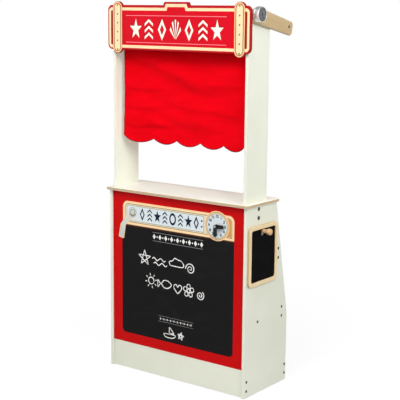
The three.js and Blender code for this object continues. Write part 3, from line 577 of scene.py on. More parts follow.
def path_through(points):
    """A smooth path through the points"""
    steps = 8
    ends = [points[0] * 2 - points[1], *points, points[-1] * 2 - points[-2]]
    path = []
    for a, b, c, d in zip(ends, ends[1:], ends[2:], ends[3:]):
        for k in range(steps):
            t = k / steps
            bend = (2 * a - 5 * b + 4 * c - d) * t**2 + (3 * b - a - 3 * c + d) * t**3
            path.append(0.5 * (2 * b + (c - a) * t + bend))
    return path + [points[-1]]


def ribbon(bm, path, width, back, front):
    """A flat closed ribbon of a path in (x, z), between two depths, with round ends and an uneven width"""
    steady, uneven, patch, least = 0.82, 0.36, 9.0, 0.04
    rows = []
    length = sum((q - p).length for p, q in zip(path, path[1:]))
    run = 0.0
    for i, here in enumerate(path):
        if i:
            run += (here - path[i - 1]).length
        near_end = min(1.0, min(run, length - run) / (width / 2))
        half = width / 2 * math.sqrt(max(least, 1 - (1 - near_end) ** 2))
        half *= steady + uneven * noise.noise(Vector((here.x, here.y, 3.0)) / patch)
        ahead = heading(path, i)
        side = Vector((-ahead.y, ahead.x)) * half
        edges = ((here + side, back), (here - side, back), (here - side, front), (here + side, front))
        rows.append([bm.verts.new((p.x, y, p.y)) for p, y in edges])
    bridge(bm, rows)
    for end in (rows[0], rows[-1]):
        bm.faces.new(end)


# Screws

KEY, KEY_DEPTH, SHANK = 2.3, 2.5, 2.9
SCREW_HEAD, SCREW_HEAD_HIGH, SCREW_LONG, BOLT_HEAD, BOLT_HEAD_HIGH, BOLT_SHORT = 4.5, 4.0, 40.0, 6.5, 3.0, 3.5
RECESS = (1.9, 1.9, 1.0, 1.0, 1.0, 0.75, 0.75, 0.75, 1.0, 1.0, 1.0, 1.9) * 4
RECESS_DEPTH, CROSS_LENGTH = 1.7, 22.0
CROSS_PROFILE = ((3.7, 0.0), (4.0, -0.25), (2.0, -2.4), (2.0, 3 - CROSS_LENGTH))


def ends(node, way):
    """The middles of a node's outer and inner end along X"""
    lo, hi = box(node)
    center = (lo + hi) / 2
    return [Vector((x, center.y, center.z)) for x in ((hi.x, lo.x) if way > 0 else (lo.x, hi.x))]


def socket_head(bm, center, way, radius, height, length, turn):
    """A screw along X with its head outwards at center, a chamfered rim and a hexagon socket"""
    profile = [
        (radius - 1.0, 0.0), (radius - 0.35, -0.08), (radius, -0.45), (radius, -height),
        (SHANK, -height), (SHANK, -length + SHANK), (0.0, -length),
    ]
    rim = lathe(bm, profile, center, sides=36, way=way)[0]
    sockets = []
    for key, along in ((KEY + 0.25, 0.0), (KEY, -0.3), (KEY, -KEY_DEPTH)):
        hexagon = circle(center.y, center.z, key, 6, turn)
        sockets.append([bm.verts.new((center.x + way * along, p.x, p.y)) for p in hexagon])
    bridge(bm, sockets)
    bm.faces.new(sockets[-1])
    cap(bm, [(ring, [vert.co.yz for vert in ring]) for ring in (rim, sockets[0])])


def cross_head(bm, center, direction):
    """A countersunk screw with a cross recess. direction points out of the head"""
    turn = Vector((0, 0, 1)).rotation_difference(Vector(direction)).to_matrix().to_4x4()
    place = Matrix.Translation(center) @ turn
    rows = [([radius * 0.35 for radius in RECESS], 0.1 - RECESS_DEPTH), (RECESS, -0.05)]
    rows += [([radius] * len(RECESS), height) for radius, height in CROSS_PROFILE]
    rings = []
    for radii, height in rows:
        around = [polar(0, 0, radius, 2 * math.pi * k / len(radii)) for k, radius in enumerate(radii)]
        rings.append([bm.verts.new(place @ Vector((p.x, p.y, height))) for p in around])
    bridge(bm, rings)
    for ring, height in ((rings[0], -RECESS_DEPTH), (rings[-1], -CROSS_LENGTH)):
        tip = bm.verts.new(place @ Vector((0, 0, height)))
        for k in range(len(ring)):
            bm.faces.new((ring[k - 1], ring[k], tip))


# Cabinet

PROUD, SEAT_SIDES = 2, 40
# Kinds of screws in a side panel, how many, and the radius and depth of their seats
SEATS = (("panel_screw", 9, 4.95, 4.75), ("upright_bolt", 2, 6.95, 3.7))
OUTER_X = box("side_panel_right")[1].x
SLEEVE = [
    (3.05, 0.3), (5.5, 0.0), (6.9, 0.5), (7.5, 1.6), (7.5, 2.5), (4.2, 2.5), (4.2, 10.4), (3.05, 10.4),
]


def seat_cutters(side, way):
    bm = bmesh.new()
    for kind, count, radius, depth in SEATS:
        for i in range(1, count + 1):
            place = middle(f"{kind}_{side}_{i}")
            profile = [(0, -depth), (radius, -depth), (radius, PROUD), (0, PROUD)]
            lathe(bm, profile, (way * OUTER_X, place.y, place.z), sides=SEAT_SIDES, way=way)
    return as_mesh(bm)


for side, way in SIDES:
    eased_board(f"side_panel_{side}", seat_cutters(side, way))
for node in ("kick_panel", "shelf", "shelf_rail", "upper_rail", "bottom_rail"):
    eased_board(node)
eased_board("front_panel", width=0.25, finishes=("white", "white", "red"))

for side, way in SIDES:
    for i in range(1, 10):
        node = f"panel_screw_{side}_{i}"
        bm = bmesh.new()
        socket_head(bm, ends(node, way)[0], way, SCREW_HEAD, SCREW_HEAD_HIGH, SCREW_LONG, 0.9 * i + way)
        finished(node + "_screw", bm, ["steel"], node)
    for i in (1, 2):
        node = f"upright_bolt_{side}_{i}"
        head, flange = ends(node, way)
        bm = bmesh.new()
        length = abs(head.x - flange.x) - BOLT_SHORT
        socket_head(bm, head, way, BOLT_HEAD, BOLT_HEAD_HIGH, length, 0.7 * i)
        lathe(bm, SLEEVE, flange, sides=SEAT_SIDES, way=way)
        finished(node + "_set", bm, ["steel"], node)

# Counter, with a slot round each upright

COUNTER_CORNER, COUNTER_EASE = 9, 1.5
upright_low, upright_high = box("upright_right")
lo, hi = box("counter_top")
slots = []
for _, way in SIDES:
    near, far = sorted((way * (upright_low.x - GAP), way * (upright_high.x + GAP)))
    slots.append(rectangle(near, upright_low.y - GAP, far, upright_high.y + GAP))
bm = bmesh.new()
outline = rectangle(lo.x, lo.y, hi.x, hi.y, COUNTER_CORNER)
slab(bm, "z", outline, lo.z, hi.z, COUNTER_EASE, slots, (0, 0, 1, 0), 4)
finished("counter_board", bm, ["counter", "counter_edge"], "counter_top")

# Uprights, battens and rod

STUD_BORE, BOLT_BORE, BOARD_EASE, DOWEL_EASE, ROD_RADIUS, ROD_BORE = 3.3, 4.5, 0.8, 0.8, 9.0, 4.7
BATTEN_WIDTH, BATTEN_DEPTH, SCREW_INSET, SCREW_STAGGER, HEAD_SUNK = 16, 17, 20, 12, 0.25
pivot = Vector(PIVOT) / MM - SHIFT
batten_low, batten_high = box("sign_batten_right")
batten_x = upright_low.x - GAP - BATTEN_WIDTH / 2
batten_y = upright_low.y + BATTEN_DEPTH / 2
upright_outline = rounded([
    (upright_low.y, upright_low.z, 1), (upright_high.y, upright_low.z, 1),
    (upright_high.y, upright_high.z, 30), (upright_low.y, upright_high.z, 8),
])
bolts = [middle(f"upright_bolt_right_{i}") for i in (1, 2)]
upright_holes = [(pivot.y, pivot.z, STUD_BORE), *((bolt.y, bolt.z, BOLT_BORE) for bolt in bolts)]

for side, way in SIDES:
    node = f"upright_{side}"
    bm = bmesh.new()
    slab(bm, "x", upright_outline, upright_low.x, upright_high.x, BOARD_EASE, upright_holes, (0, 0, 0, 1))
    mirrored(bm, way)
    finished(node + "_board", bm, ["white", "white_edge"], node)

    node = f"sign_batten_{side}"
    half_x, half_y = BATTEN_WIDTH / 2, BATTEN_DEPTH / 2
    outline = rectangle(batten_x - half_x, batten_y - half_y, batten_x + half_x, batten_y + half_y, 1)
    bm = bmesh.new()
    slab(bm, "z", outline, batten_low.z, batten_high.z, BOARD_EASE)
    mirrored(bm, way)
    finished(node + "_bar", bm, ["beech_z"], node)
    bm = bmesh.new()
    for end, inwards in ((batten_low.z, 1), (batten_high.z, -1)):
        z = end + inwards * SCREW_INSET
        cross_head(bm, (way * (upright_high.x - HEAD_SUNK), batten_y, z), (way, 0, 0))
        cross_head(bm, (way * batten_x, batten_y + half_y + 0.05, z + inwards * SCREW_STAGGER), (0, 1, 0))
    finished(node + "_screws", bm, ["zinc"], node)

lo, hi = box("curtain_rod")
bm = bmesh.new()
lathe(bm, tube(ROD_RADIUS, ROD_BORE, lo.x, hi.x, DOWEL_EASE), (0, pivot.y, pivot.z))
finished("curtain_rod_dowel", bm, ["beech_x"], "curtain_rod")

# Header sign: one outline round the plate, its two tall bands and the tab

sign_low, sign_high = box("header_sign")
SIGN_HALF, SIGN_CORNER, PLATE_HALF, TAB_HALF, TAB_RISE = sign_high.x, 17, 70.5, 46, 10
BAND_HALF, BAND_HALF_HEIGHT = 20, (sign_high.z - sign_low.z) / 2
BAND_X = SIGN_HALF - 39.75
sign_z = (sign_low.z + sign_high.z) / 2
plate_top, plate_bottom = sign_z + PLATE_HALF, sign_z - PLATE_HALF


def sign_outline():
    band_end = BAND_HALF_HEIGHT - BAND_HALF
    dip = math.degrees(math.asin((PLATE_HALF - band_end) / BAND_HALF))
    corner_x, corner_z = SIGN_HALF - SIGN_CORNER, PLATE_HALF - SIGN_CORNER
    tab = [(TAB_HALF + 5.5, plate_top, 1.5), (TAB_HALF, plate_top + TAB_RISE, 4)]
    tab_points = rounded(tab + [(-a, b, radius) for a, b, radius in reversed(tab)])
    right = [
        *arc(BAND_X, sign_z - band_end, BAND_HALF, 180 + dip, 360 - dip),
        *arc(corner_x, sign_z - corner_z, SIGN_CORNER, 270, 360, 10),
        *arc(corner_x, sign_z + corner_z, SIGN_CORNER, 0, 90, 10),
        *arc(BAND_X, sign_z + band_end, BAND_HALF, dip, 180 - dip),
        *tab_points[1:len(tab_points) // 2],
    ]
    return right + [Vector((-p.x, p.y)) for p in reversed(right)]


bm = bmesh.new()
slab(bm, "front", sign_outline(), -sign_high.y, -sign_low.y, 0.5, finishes=(0, 1, 2, 2), steps=2)
# The walls take the edge finish, which holds painted shade
finished("header_sign_board", bm, ["sign_rim", "white", "sign_edge_shaded"], "header_sign")

# Printed layers

PRINT_SINK, PRINT_STEP = 0.05, 0.05


class Printing:
    """Thin layers of ink on a node's front face, as one mesh for each finish"""

    def __init__(self, node):
        self.face = box(node)[0].y
        self.inks = {}

    def ink(self, finish):
        if finish not in self.inks:
            self.inks[finish] = bmesh.new()
        return self.inks[finish]

    def plate(self, finish, layer, outline, holes=()):
        bottom, top = -self.face - PRINT_SINK, -self.face + layer * PRINT_STEP
        slab(self.ink(finish), "front", outline, bottom, top, holes=holes)

    def ornament(self, finish, layer, shape, a, b, half_a, half_b=None):
        for outlines in shape:
            outline, *holes = [moved(points, a, b, half_a, half_b) for points in outlines]
            self.plate(finish, layer, outline, holes)

    def finish(self, name, welded=()):
        for finish, bm in self.inks.items():
            finished(f"{name}_{finish}", bm, [finish], weld=finish in welded, level=False)


def star(points, inner):
    turns = [math.radians(90 + 180 * k / points) for k in range(2 * points)]
    return [polar(0, 0, inner if k % 2 else 1.0, turn) for k, turn in enumerate(turns)]


def leaf(turn):
    """One blade of a fan, from its foot to its tip"""
    corners = ((0.10, 0.1, -0.10), (1.18, 1.86, -0.11), (1.18, 1.86, 0.11), (0.10, 0.1, 0.10))
    return [(a * math.cos(turn + aside), b * math.sin(turn + aside) - 0.9) for a, b, aside in corners]


# Ornaments in a box from -1 to 1: each is a list of outlines with their holes
STAR = [[star(5, 0.40)]]
DIAMOND = [[((0, 1), (-1, 0), (0, -1), (1, 0))]]
LOZENGE = [[((0, 1), (-0.78, 0), (0, -1), (0.78, 0)), ((0, 0.52), (-0.40, 0), (0, -0.52), (0.40, 0))]]
CHEVRONS = [
    [((-0.8, z), (0, z + 0.42), (0.8, z), (0.8, z - 0.26), (0, z + 0.16), (-0.8, z - 0.26))]
    for z in (0.58, -0.06, -0.70)
]
FAN = [[leaf(math.radians(degrees))] for degrees in (34, 62, 90, 118, 146)]
RING = [[circle(0, 0, 1.0, 36), circle(0, 0, 0.62, 36)]]
DOT = [[circle(0, 0, 1.0, 24)]]

# Print on the sign: a cream frame round the plate with a jog round the tab, bands, rules and ornaments

RIM_TOP, RIM_BOTTOM, RIM_SIDE, LINE, LINE_SIDE, TAB_RIM, PEACH_LINE = 8.0, 5.6, 4.3, 9.3, 8.0, 3.6, 1.1
RULE_LEFT, RULE_RIGHT, RULE_HALF, UPPER_RULE_DROP, LOWER_RULE_RISE = -202, 191, 0.9, 33.0, 24.0
frame_top, frame_bottom, tab_top = plate_top - RIM_TOP, plate_bottom + RIM_BOTTOM, plate_top + TAB_RIM
frame_half = SIGN_HALF - RIM_SIDE
field_half = BAND_X - BAND_HALF + 3


def tabbed(half, bottom, top, corner, tab):
    """An outline with a tab in the middle of its upper edge, whose right half is a list of corners"""
    right = [(half, bottom, corner), (half, top, corner), *tab]
    return rounded(right + [(-a, b, radius) for a, b, radius in reversed(right)])


outer_tab = [(45, frame_top, 1.5), (40.5, tab_top, 3)]
inner_tab = [(37, frame_top - LINE, 1), (33.5, tab_top - LINE, 1.5)]
frame_outer = tabbed(frame_half, frame_bottom, frame_top, 12, outer_tab)
frame_inner = tabbed(frame_half - LINE_SIDE, frame_bottom + LINE, frame_top - LINE, 4, inner_tab)
sign = Printing("header_sign")
sign.plate("sign_slot", 1, frame_inner)
sign.plate("cream", 1, frame_outer, [frame_inner])
sign.plate("sign_red", 2, tabbed(field_half, frame_bottom + LINE, frame_top - LINE, 0, inner_tab))
for left, right in ((-field_half, -TAB_HALF), (TAB_HALF, field_half)):
    sign.plate("peach", 2, rectangle(left, frame_top - PEACH_LINE, right, frame_top))
sign.plate("peach", 2, rectangle(-field_half, frame_bottom, field_half, frame_bottom + PEACH_LINE))

BAND_LAYERS = (("brown", 2, 0.5), ("peach", 3, 1.3), ("band_line", 4, 5.0), ("cream", 5, 8.2))
RIVETS, RIVET_PITCH, RIVET_FIRST, RIVET, GLINT, GLINT_LEFT, GLINT_RISE = 6, 27.95, 69.9, 2.8, 1.2, 0.7, 0.8
for x in (-BAND_X, BAND_X):
    for finish, layer, inset in BAND_LAYERS:
        half_a, half_b = BAND_HALF - inset, BAND_HALF_HEIGHT - inset
        band = rectangle(x - half_a, sign_z - half_b, x + half_a, sign_z + half_b, half_a * ALMOST_ROUND)
        sign.plate(finish, layer, band)
    for k in range(RIVETS):
        z = sign_z + RIVET_FIRST - RIVET_PITCH * k
        sign.ornament("brown", 6, DOT, x, z, RIVET)
        sign.ornament("grey", 7, DOT, x - GLINT_LEFT, z + GLINT_RISE, GLINT)

for z in (plate_top - UPPER_RULE_DROP, plate_bottom + LOWER_RULE_RISE):
    sign.plate("rule", 3, rectangle(RULE_LEFT, z - RULE_HALF, RULE_RIGHT, z + RULE_HALF))

SIGN_STAR, SIGN_CHEVRONS, SIGN_LOZENGE = (STAR, 25, 33), (CHEVRONS, 21, 32), (LOZENGE, 21, 33)
SIGN_ROW = (SIGN_STAR, SIGN_CHEVRONS, SIGN_LOZENGE, (FAN, 21, 33), SIGN_LOZENGE, SIGN_CHEVRONS, SIGN_STAR)
SIGN_ROW_LEFT, SIGN_PITCH, SIGN_ROW_DROP, CAST = -161, 53.0, 5, 2.2
for k, (shape, half_a, half_b) in enumerate(SIGN_ROW):
    x, z = SIGN_ROW_LEFT + SIGN_PITCH * k, sign_z - SIGN_ROW_DROP
    sign.ornament("shade", 3, shape, x - CAST, z + CAST, half_a, half_b)
    sign.ornament("off_cream", 4, shape, x, z, half_a, half_b)
sign.finish("sign_print")

# Print on the front: a black board, and above it a plate of nested fields

BLACK_HALF, BLACK_BOTTOM, BLACK_CORNER, UNDER_PLATE = 226.7, 125, 15, 6
PLATE_LEFT, PLATE_RIGHT, PLATE_LOW, PLATE_HIGH, PLATE_CORNER = -222.7, 226.6, 497, 575.6, 20.0
GOLD_INSET, GOLD_START, SHADOW_DROP, SHADOW_UNDER = 11.2, 20, 4.5, 2
PALE_LEFT, PALE_RIGHT, PALE_LOW, PALE_HIGH, PALE_LINE = -206.5, 110.5, 510, 562.6, 1.6
pin_low, pin_high = box("clock_pin")
CLOCK_X, CLOCK_Z = middle("clock_pin").x, middle("clock_pin").z


def field(left, bottom, right, top, low_corners, right_top, left_top):
    low_left, low_right = low_corners
    return rounded([
        (left, bottom, low_left), (right, bottom, low_right), (right, top, right_top), (left, top, left_top),
    ])


def plate_shape(inset):
    corner = PLATE_CORNER - inset * 0.6
    left, right = PLATE_LEFT + inset, PLATE_RIGHT - inset
    return field(left, PLATE_LOW + inset, right, PLATE_HIGH - inset, (2, 2), corner, corner)


front = Printing("front_panel")
black_corners = (BLACK_CORNER, BLACK_CORNER)
black_outline = field(-BLACK_HALF, BLACK_BOTTOM, BLACK_HALF, PLATE_LOW + UNDER_PLATE, black_corners, 0, 0)
front.plate("board", 1, black_outline)
shadow_low, shadow_high = PLATE_LOW - SHADOW_DROP, PLATE_LOW + SHADOW_UNDER
front.plate("shadow", 2, rectangle(PLATE_LEFT, shadow_low, PLATE_RIGHT, shadow_high))
PLATE_LAYERS = (("peach", 3, 0), ("plate_cream", 4, 2.0), ("olive", 5, 8.0), ("infill", 6, 10.2))
for finish, layer, inset in PLATE_LAYERS:
    front.plate(finish, layer, plate_shape(inset))
gold_right, gold_low, gold_high = PLATE_RIGHT - GOLD_INSET, PLATE_LOW + GOLD_INSET, PLATE_HIGH - GOLD_INSET
front.plate("gold", 7, field(CLOCK_X + GOLD_START, gold_low, gold_right, gold_high, (1, 1), 12, 1))
for finish, layer, inset, low_left, left_top in (("olive", 7, 0, 2, 9), ("pale", 8, PALE_LINE, 1, 8)):
    left, right, low, high = PALE_LEFT + inset, PALE_RIGHT - inset, PALE_LOW + inset, PALE_HIGH - inset
    front.plate(finish, layer, field(left, low, right, high, (low_left, 1), 1, left_top))

# Clock face

CLOCK_RINGS = (
    ("peach", 9, 47.4), ("plate_cream", 10, 46.2), ("olive", 11, 44.0), ("plate_cream", 12, 42.2),
    ("olive", 13, 39.8), ("pale", 14, 38.2),
)
NUMERAL_SIZE, NUMERAL_RADIUS, NUMERAL_BOLD, NUMERAL_DEPTH = 12.2, 30.8, 0.6, 8 * PRINT_STEP
MINUTE_RADIUS, MINUTE_DOT = 36.9, 0.4
for finish, layer, radius in CLOCK_RINGS:
    front.plate(finish, layer, circle(CLOCK_X, CLOCK_Z, radius, 64))
for hour in range(1, 13):
    place = polar(CLOCK_X, CLOCK_Z, NUMERAL_RADIUS, math.radians(90 - 30 * hour))
    numeral = bpy.data.curves.new("numeral", "FONT")
    numeral.body = str(hour)
    numeral.size = NUMERAL_SIZE
    numeral.align_x, numeral.align_y = "CENTER", "CENTER"
    numeral.extrude = NUMERAL_DEPTH
    numeral.offset = NUMERAL_BOLD
    holder = bpy.data.objects.new("numeral", numeral)
    mesh = bpy.data.meshes.new_from_object(holder)
    upright = Matrix.Rotation(math.pi / 2, 4, "X")
    mesh.transform(Matrix.Translation((place.x, front.face - NUMERAL_DEPTH, place.y)) @ upright)
    front.ink("navy").from_mesh(mesh)
    bpy.data.objects.remove(holder)
    bpy.data.meshes.remove(mesh)
for minute in range(60):
    if minute % 5:
        place = polar(CLOCK_X, CLOCK_Z, MINUTE_RADIUS, math.radians(6 * minute))
        front.ornament("grey", 15, DOT, place.x, place.y, MINUTE_DOT)

# Row of ornaments on the pale plate, and two captions between rules

ROW_Z, ROW_LEFT, ROW_PITCH = 537.0, -140, 31.5
COLON_X, COLON_HALF, COLON_DOT = 102, 9, 3.2
ROW = (
    (LOZENGE, 13, 22), (CHEVRONS, 12, 21), (STAR, 16, 22), (CHEVRONS, 12, 21), (RING, 13.5, 20),
    (CHEVRONS, 12, 21), (STAR, 16, 22), (LOZENGE, 13, 22),
)
for k, (shape, half_a, half_b) in enumerate(ROW):
    front.ornament("navy", 9, shape, ROW_LEFT + ROW_PITCH * k, ROW_Z, half_a, half_b)
for z in (ROW_Z - COLON_HALF, ROW_Z + COLON_HALF):
    front.ornament("navy", 9, DOT, COLON_X, z, COLON_DOT)

# Left and right end of the rules, half their thickness and their heights
CAPTION_RULES = ((-96, 108, 0.6, (484, 456)), (-71, 71, 0.45, (208, 189.5)))
for left, right, half, heights in CAPTION_RULES:
    for z in heights:
        front.plate("rule_pale", 2, rectangle(left, z - half, right, z + half))

# How many marks, the first one's place, their pitch, and half the size of a diamond and of a dot
CAPTIONS = ((17, -90, 470, 12.0, (6.4, 9.0), (2.2, 3.2)), (19, -63, 198.7, 7.0, (2.6, 4.2), (1.1, 1.5)))
for count, left, z, pitch, diamond_halves, dot_halves in CAPTIONS:
    for k in range(count):
        shape, halves = (DOT, dot_halves) if k % 2 else (DIAMOND, diamond_halves)
        front.ornament("off_white", 2, shape, left + pitch * k, z, *halves)

# A plain rosette with a ribbon tail at the plate's left end

ROSETTE_X, ROSETTE_Z = -181.0, 540.0
tail = rounded([
    (-192, 538, 6), (-216, 517, 8), (-234, 494, 14), (-242, 451, 4), (-219, 446, 4), (-211, 494, 8),
    (-190, 513, 8), (-164, 530, 6),
])
front.plate("peach", 9, tail)
front.plate("ribbon", 10, moved_in(counter_clockwise(tail), 1.7))
petals, disc = star(12, 0.88), circle(0, 0, 1.0, 48)
ROSETTE = (
    ("grey", 11, petals, 17.5), ("ribbon", 12, petals, 15.8), ("shadow", 13, disc, 9.8),
    ("ribbon", 14, disc, 8.2),
)
for finish, layer, shape, radius in ROSETTE:
    front.plate(finish, layer, moved(shape, ROSETTE_X, ROSETTE_Z, radius))
under_curve = arc(ROSETTE_X, ROSETTE_Z, 13.4, 200, 340)
upper_curve = arc(ROSETTE_X, ROSETTE_Z + 1.6, 12.8, 205, 335)
front.plate("shadow", 15, under_curve + upper_curve[::-1])

# Chalk drawings: each is a list of lines, and a line is its places and whether it closes

CHALK_WIDTH, PETAL_WIDTH, CHALK_SINK, CHALK_FIRST, CHALK_LAYERS = 3.5, 3.2, 0.02, 3, 7
HEART = [(
    ((0, -1), (-0.95, 0.1), (-0.85, 0.75), (-0.35, 0.85), (0, 0.4), (0.35, 0.85), (0.85, 0.75), (0.95, 0.1)),
    True,
)]
CLOUD = [(
    ((-1, -0.3), (-1.1, 0.15), (-0.6, 0.35), (-0.25, 0.7), (0.25, 0.55), (0.65, 0.5), (1.1, 0.1),
     (0.9, -0.3)),
    True,
)]
FISH = [(
    ((-1, 0.45), (-0.55, 0), (-0.1, 0.42), (0.5, 0.42), (1, 0), (0.5, -0.42), (-0.1, -0.42), (-0.55, 0),
     (-1, -0.45)),
    True,
)]
BOAT = [
    (((-1, 0), (-0.6, -0.45), (0.6, -0.45), (1, 0)), True),
    (((0, 0.1), (0, 1.05)), False),
    (((0.08, 1.0), (0.75, 0.22), (0.08, 0.2)), False),
]
WAVE = [([(7 * i, 4.5 * (0, 1, 0, -1)[i % 4]) for i in range(9)], False)]
sun_turns = [2 * math.pi * k / 8 + 0.2 for k in range(8)]
SUN = [(circle(0, 0, 1, 9), True)]
SUN += [([polar(0, 0, reach, turn) for reach in (1.5, 2.2)], False) for turn in sun_turns]
DISC = [(circle(0, 0, 0.35, 7), True)]
PETALS = [(circle(*polar(0, 0, 0.85, 2 * math.pi * k / 5 + 0.3), 0.42, 7), True) for k in range(5)]


def pentagram(turn):
    tips = [polar(0, 0, 1, math.radians(turn + 144 * k)) for k in range(6)]
    return [(pair, False) for pair in zip(tips, tips[1:])]


def spiral(turns, start):
    count = int(turns * 10)
    places = [polar(0, 0, i / count, start + 2 * math.pi * turns * i / count) for i in range(1, count + 1)]
    return [(places, False)]


# Each drawing's middle and size
DRAWINGS = (
    (pentagram(90), -130, 394, 27), (WAVE, -98, 396, 1), (WAVE, -92, 381, 1), (CLOUD, 2, 392, 26),
    (spiral(2.1, 2.6), 58, 384, 19), (SUN, -102, 321, 11.5), (FISH, -46, 318, 28), (HEART, 8, 310, 16),
    (DISC, 52, 312, 17), (PETALS, 52, 312, 17), (spiral(2.0, 1.0), 98, 304, 16),
    (BOAT, -26, 152, 24), (pentagram(80), 21, 154, 14),
)
drawn = 0
for drawing, a, b, size in DRAWINGS:
    width = PETAL_WIDTH if drawing is PETALS else CHALK_WIDTH
    for places, is_closed in drawing:
        places = moved(places, a, b, size)
        # Lines lie at several depths, so that none that cross are at the same one
        layer = CHALK_FIRST + drawn % CHALK_LAYERS / 4
        drawn += 1
        path = path_through(places + places[:1] if is_closed else places)
        ribbon(front.ink("chalk"), path, width, front.face - CHALK_SINK, front.face - layer * PRINT_STEP)
front.finish("front_print", welded=("navy",))

# Curtain

cloth_low, cloth_high = box("curtain")
CLOTH, POCKET_RADIUS, SEAM_DROP, TUCK = 1.0, 10.2, 19.0, 7.0
CURTAIN_HALF = (cloth_high.x - cloth_low.x) / 2
LOBE_ENDS_SHARES = (0.0, 0.247, 0.440, 0.637, 0.827, 1.0)
CUSP_Z, LOBE_DEPTH, CORNER_RISE, CORNER_SHARE = 785.5, 16.0, 6.0, 0.05
CREASE, FINE, ROLL, BOW, SIDE_HEM, SIDE_HEM_PROUD, HEM_PROUD = 2.4, 0.7, 1.6, 9.0, 9.0, 0.9, 2.0
FREE_FROM_EDGE, WAIST, FOLD_FADE_SHARE = 45.0, 5.5, 0.16
COLUMNS, ROWS, TUCK_STEPS, POCKET_STEPS = 220, 130, 3, 34
POCKET_START, POCKET_TURN = -52, 284
# Rows of the grid that carry stitches: one at the front's upper end, along the pocket's seam, and one near
# the hem, counted from the last
SEAM_ROW, STITCH_ROW = TUCK_STEPS + POCKET_STEPS + 5, -5

# Soft folds: the (across, fall) places that a crest runs through, its reach above and below as shares of
# the fall, and how far it stands forward
FOLDS = (
    (((0.04, 0.24), (0.16, 0.29), (0.38, 0.42), (0.69, 0.54), (0.88, 0.49), (1.10, 0.46)), 0.14, 0.06, 8.5),
    (((-0.15, 0.52), (0.12, 0.56), (0.38, 0.57)), 0.10, 0.035, 4.5),
    (((-0.15, 0.72), (0.15, 0.74), (0.40, 0.73)), 0.08, 0.03, 2.8),
    (((0.34, 0.70), (0.60, 0.73), (1.10, 0.75)), 0.08, 0.03, 3.0),
    (((0.30, 0.84), (0.52, 0.86), (0.78, 0.88)), 0.07, 0.04, 5.5),
    (((-0.12, 0.86), (0.18, 0.90), (0.46, 0.90)), 0.06, 0.02, 4.5),
)


def hem_z(across):
    """The hem's height: five lobes between cusps, and corners that lift a little"""
    lobe = next(i for i in range(1, len(LOBE_ENDS_SHARES)) if across <= LOBE_ENDS_SHARES[i] + 1e-9)
    start, end = LOBE_ENDS_SHARES[lobe - 1:lobe + 1]
    depth = LOBE_DEPTH * max(0.0, math.sin(math.pi * (across - start) / (end - start))) ** 0.75
    rise = sum(CORNER_RISE * max(0.0, 1 - away / CORNER_SHARE) ** 2 for away in (across, 1 - across))
    return CUSP_Z - depth + rise


def smooth_step(share):
    return share * share * (3 - 2 * share)


def folds_forward(across, fall):
    forward = 0.0
    for places, above, below, height in FOLDS:
        for (start, start_fall), (end, end_fall) in zip(places, places[1:]):
            if start <= across < end:
                crest = start_fall + (end_fall - start_fall) * smooth_step((across - start) / (end - start))
                to_ends = (across - places[0][0], places[-1][0] - across)
                fade = smooth_step(min(1.0, min(to_ends) / FOLD_FADE_SHARE))
                near = (fall - crest) / (below if fall > crest else above)
                forward += height * fade * math.exp(-near * near)
    return forward


def cloth_depth(across, fall):
    """How far the cloth lies behind the rod's axis: its folds, a bow, a little unevenness and side hems"""
    drift = noise.noise(Vector((across * 1.7, fall * 1.9, 3.1)))
    lean = fall * 9.4 - across * 1.5 + 1.6 * drift
    crease = CREASE * noise.noise(Vector((across * 2.4 + 3.0, lean, 0.0)))
    fine = FINE * noise.noise(Vector((across * 8.0, fall * 26.0 + 7.0 * across, 9.0)))
    bent_across = across + 0.05 * drift
    bent_fall = fall + 0.03 * noise.noise(Vector((across * 4.0, fall * 3.0, 7.0)))
    roll = ROLL * math.sin(2 * math.pi * (1.4 * across - 0.15)) * fall
    bow = BOW * (1 - (2 * across - 1) ** 2)
    edge = min(across, 1 - across) * 2 * CURTAIN_HALF
    hem = SIDE_HEM_PROUD * max(0.0, min(1.0, (SIDE_HEM + 1.0 - edge) / 2.0))
    free = min(1.0, fall * 4.0) * (0.3 + 0.7 * min(1.0, edge / FREE_FROM_EDGE))
    loose = crease + fine + roll + bow - folds_forward(bent_across, bent_fall)
    return free * loose - hem - HEM_PROUD * fall**5


def cloth_side(across, fall):
    """The cloth's width draws in a little below its middle"""
    draw = WAIST * math.sin(math.pi * min(1.0, fall * 0.75 + 0.05)) ** 2 * (1 if fall > 0 else 0)
    return (across - 0.5) * 2 * (CURTAIN_HALF - draw)


def cloth_path(across):
    """One thread of the cloth: its end tucked behind the seam, the pocket round the rod, and the fall"""
    seam_z, hem = pivot.z - SEAM_DROP, hem_z(across)
    x = (across - 0.5) * 2 * CURTAIN_HALF
    steps = range(TUCK_STEPS + 1)
    path = [Vector((x, pivot.y + 1.2, seam_z - TUCK + k * TUCK / TUCK_STEPS)) for k in steps]
    pocket = arc(pivot.y, pivot.z, POCKET_RADIUS, POCKET_START, POCKET_START + POCKET_TURN, POCKET_STEPS)
    path += [Vector((x, p.x, p.y)) for p in pocket]
    path.append(Vector((x, pivot.y - 0.4, seam_z + 2)))
    for k in range(ROWS + 1):
        fall = k / ROWS
        z = seam_z + (hem - seam_z) * fall
        level_fall = (seam_z - z) / (seam_z - CUSP_Z)
        path.append(Vector((cloth_side(across, fall), pivot.y + cloth_depth(across, level_fall), z)))
    return path


def runs(path):
    """How far along the path each of its places is"""
    lengths = [0.0]
    for p, q in zip(path, path[1:]):
        lengths.append(lengths[-1] + (q - p).length)
    return lengths


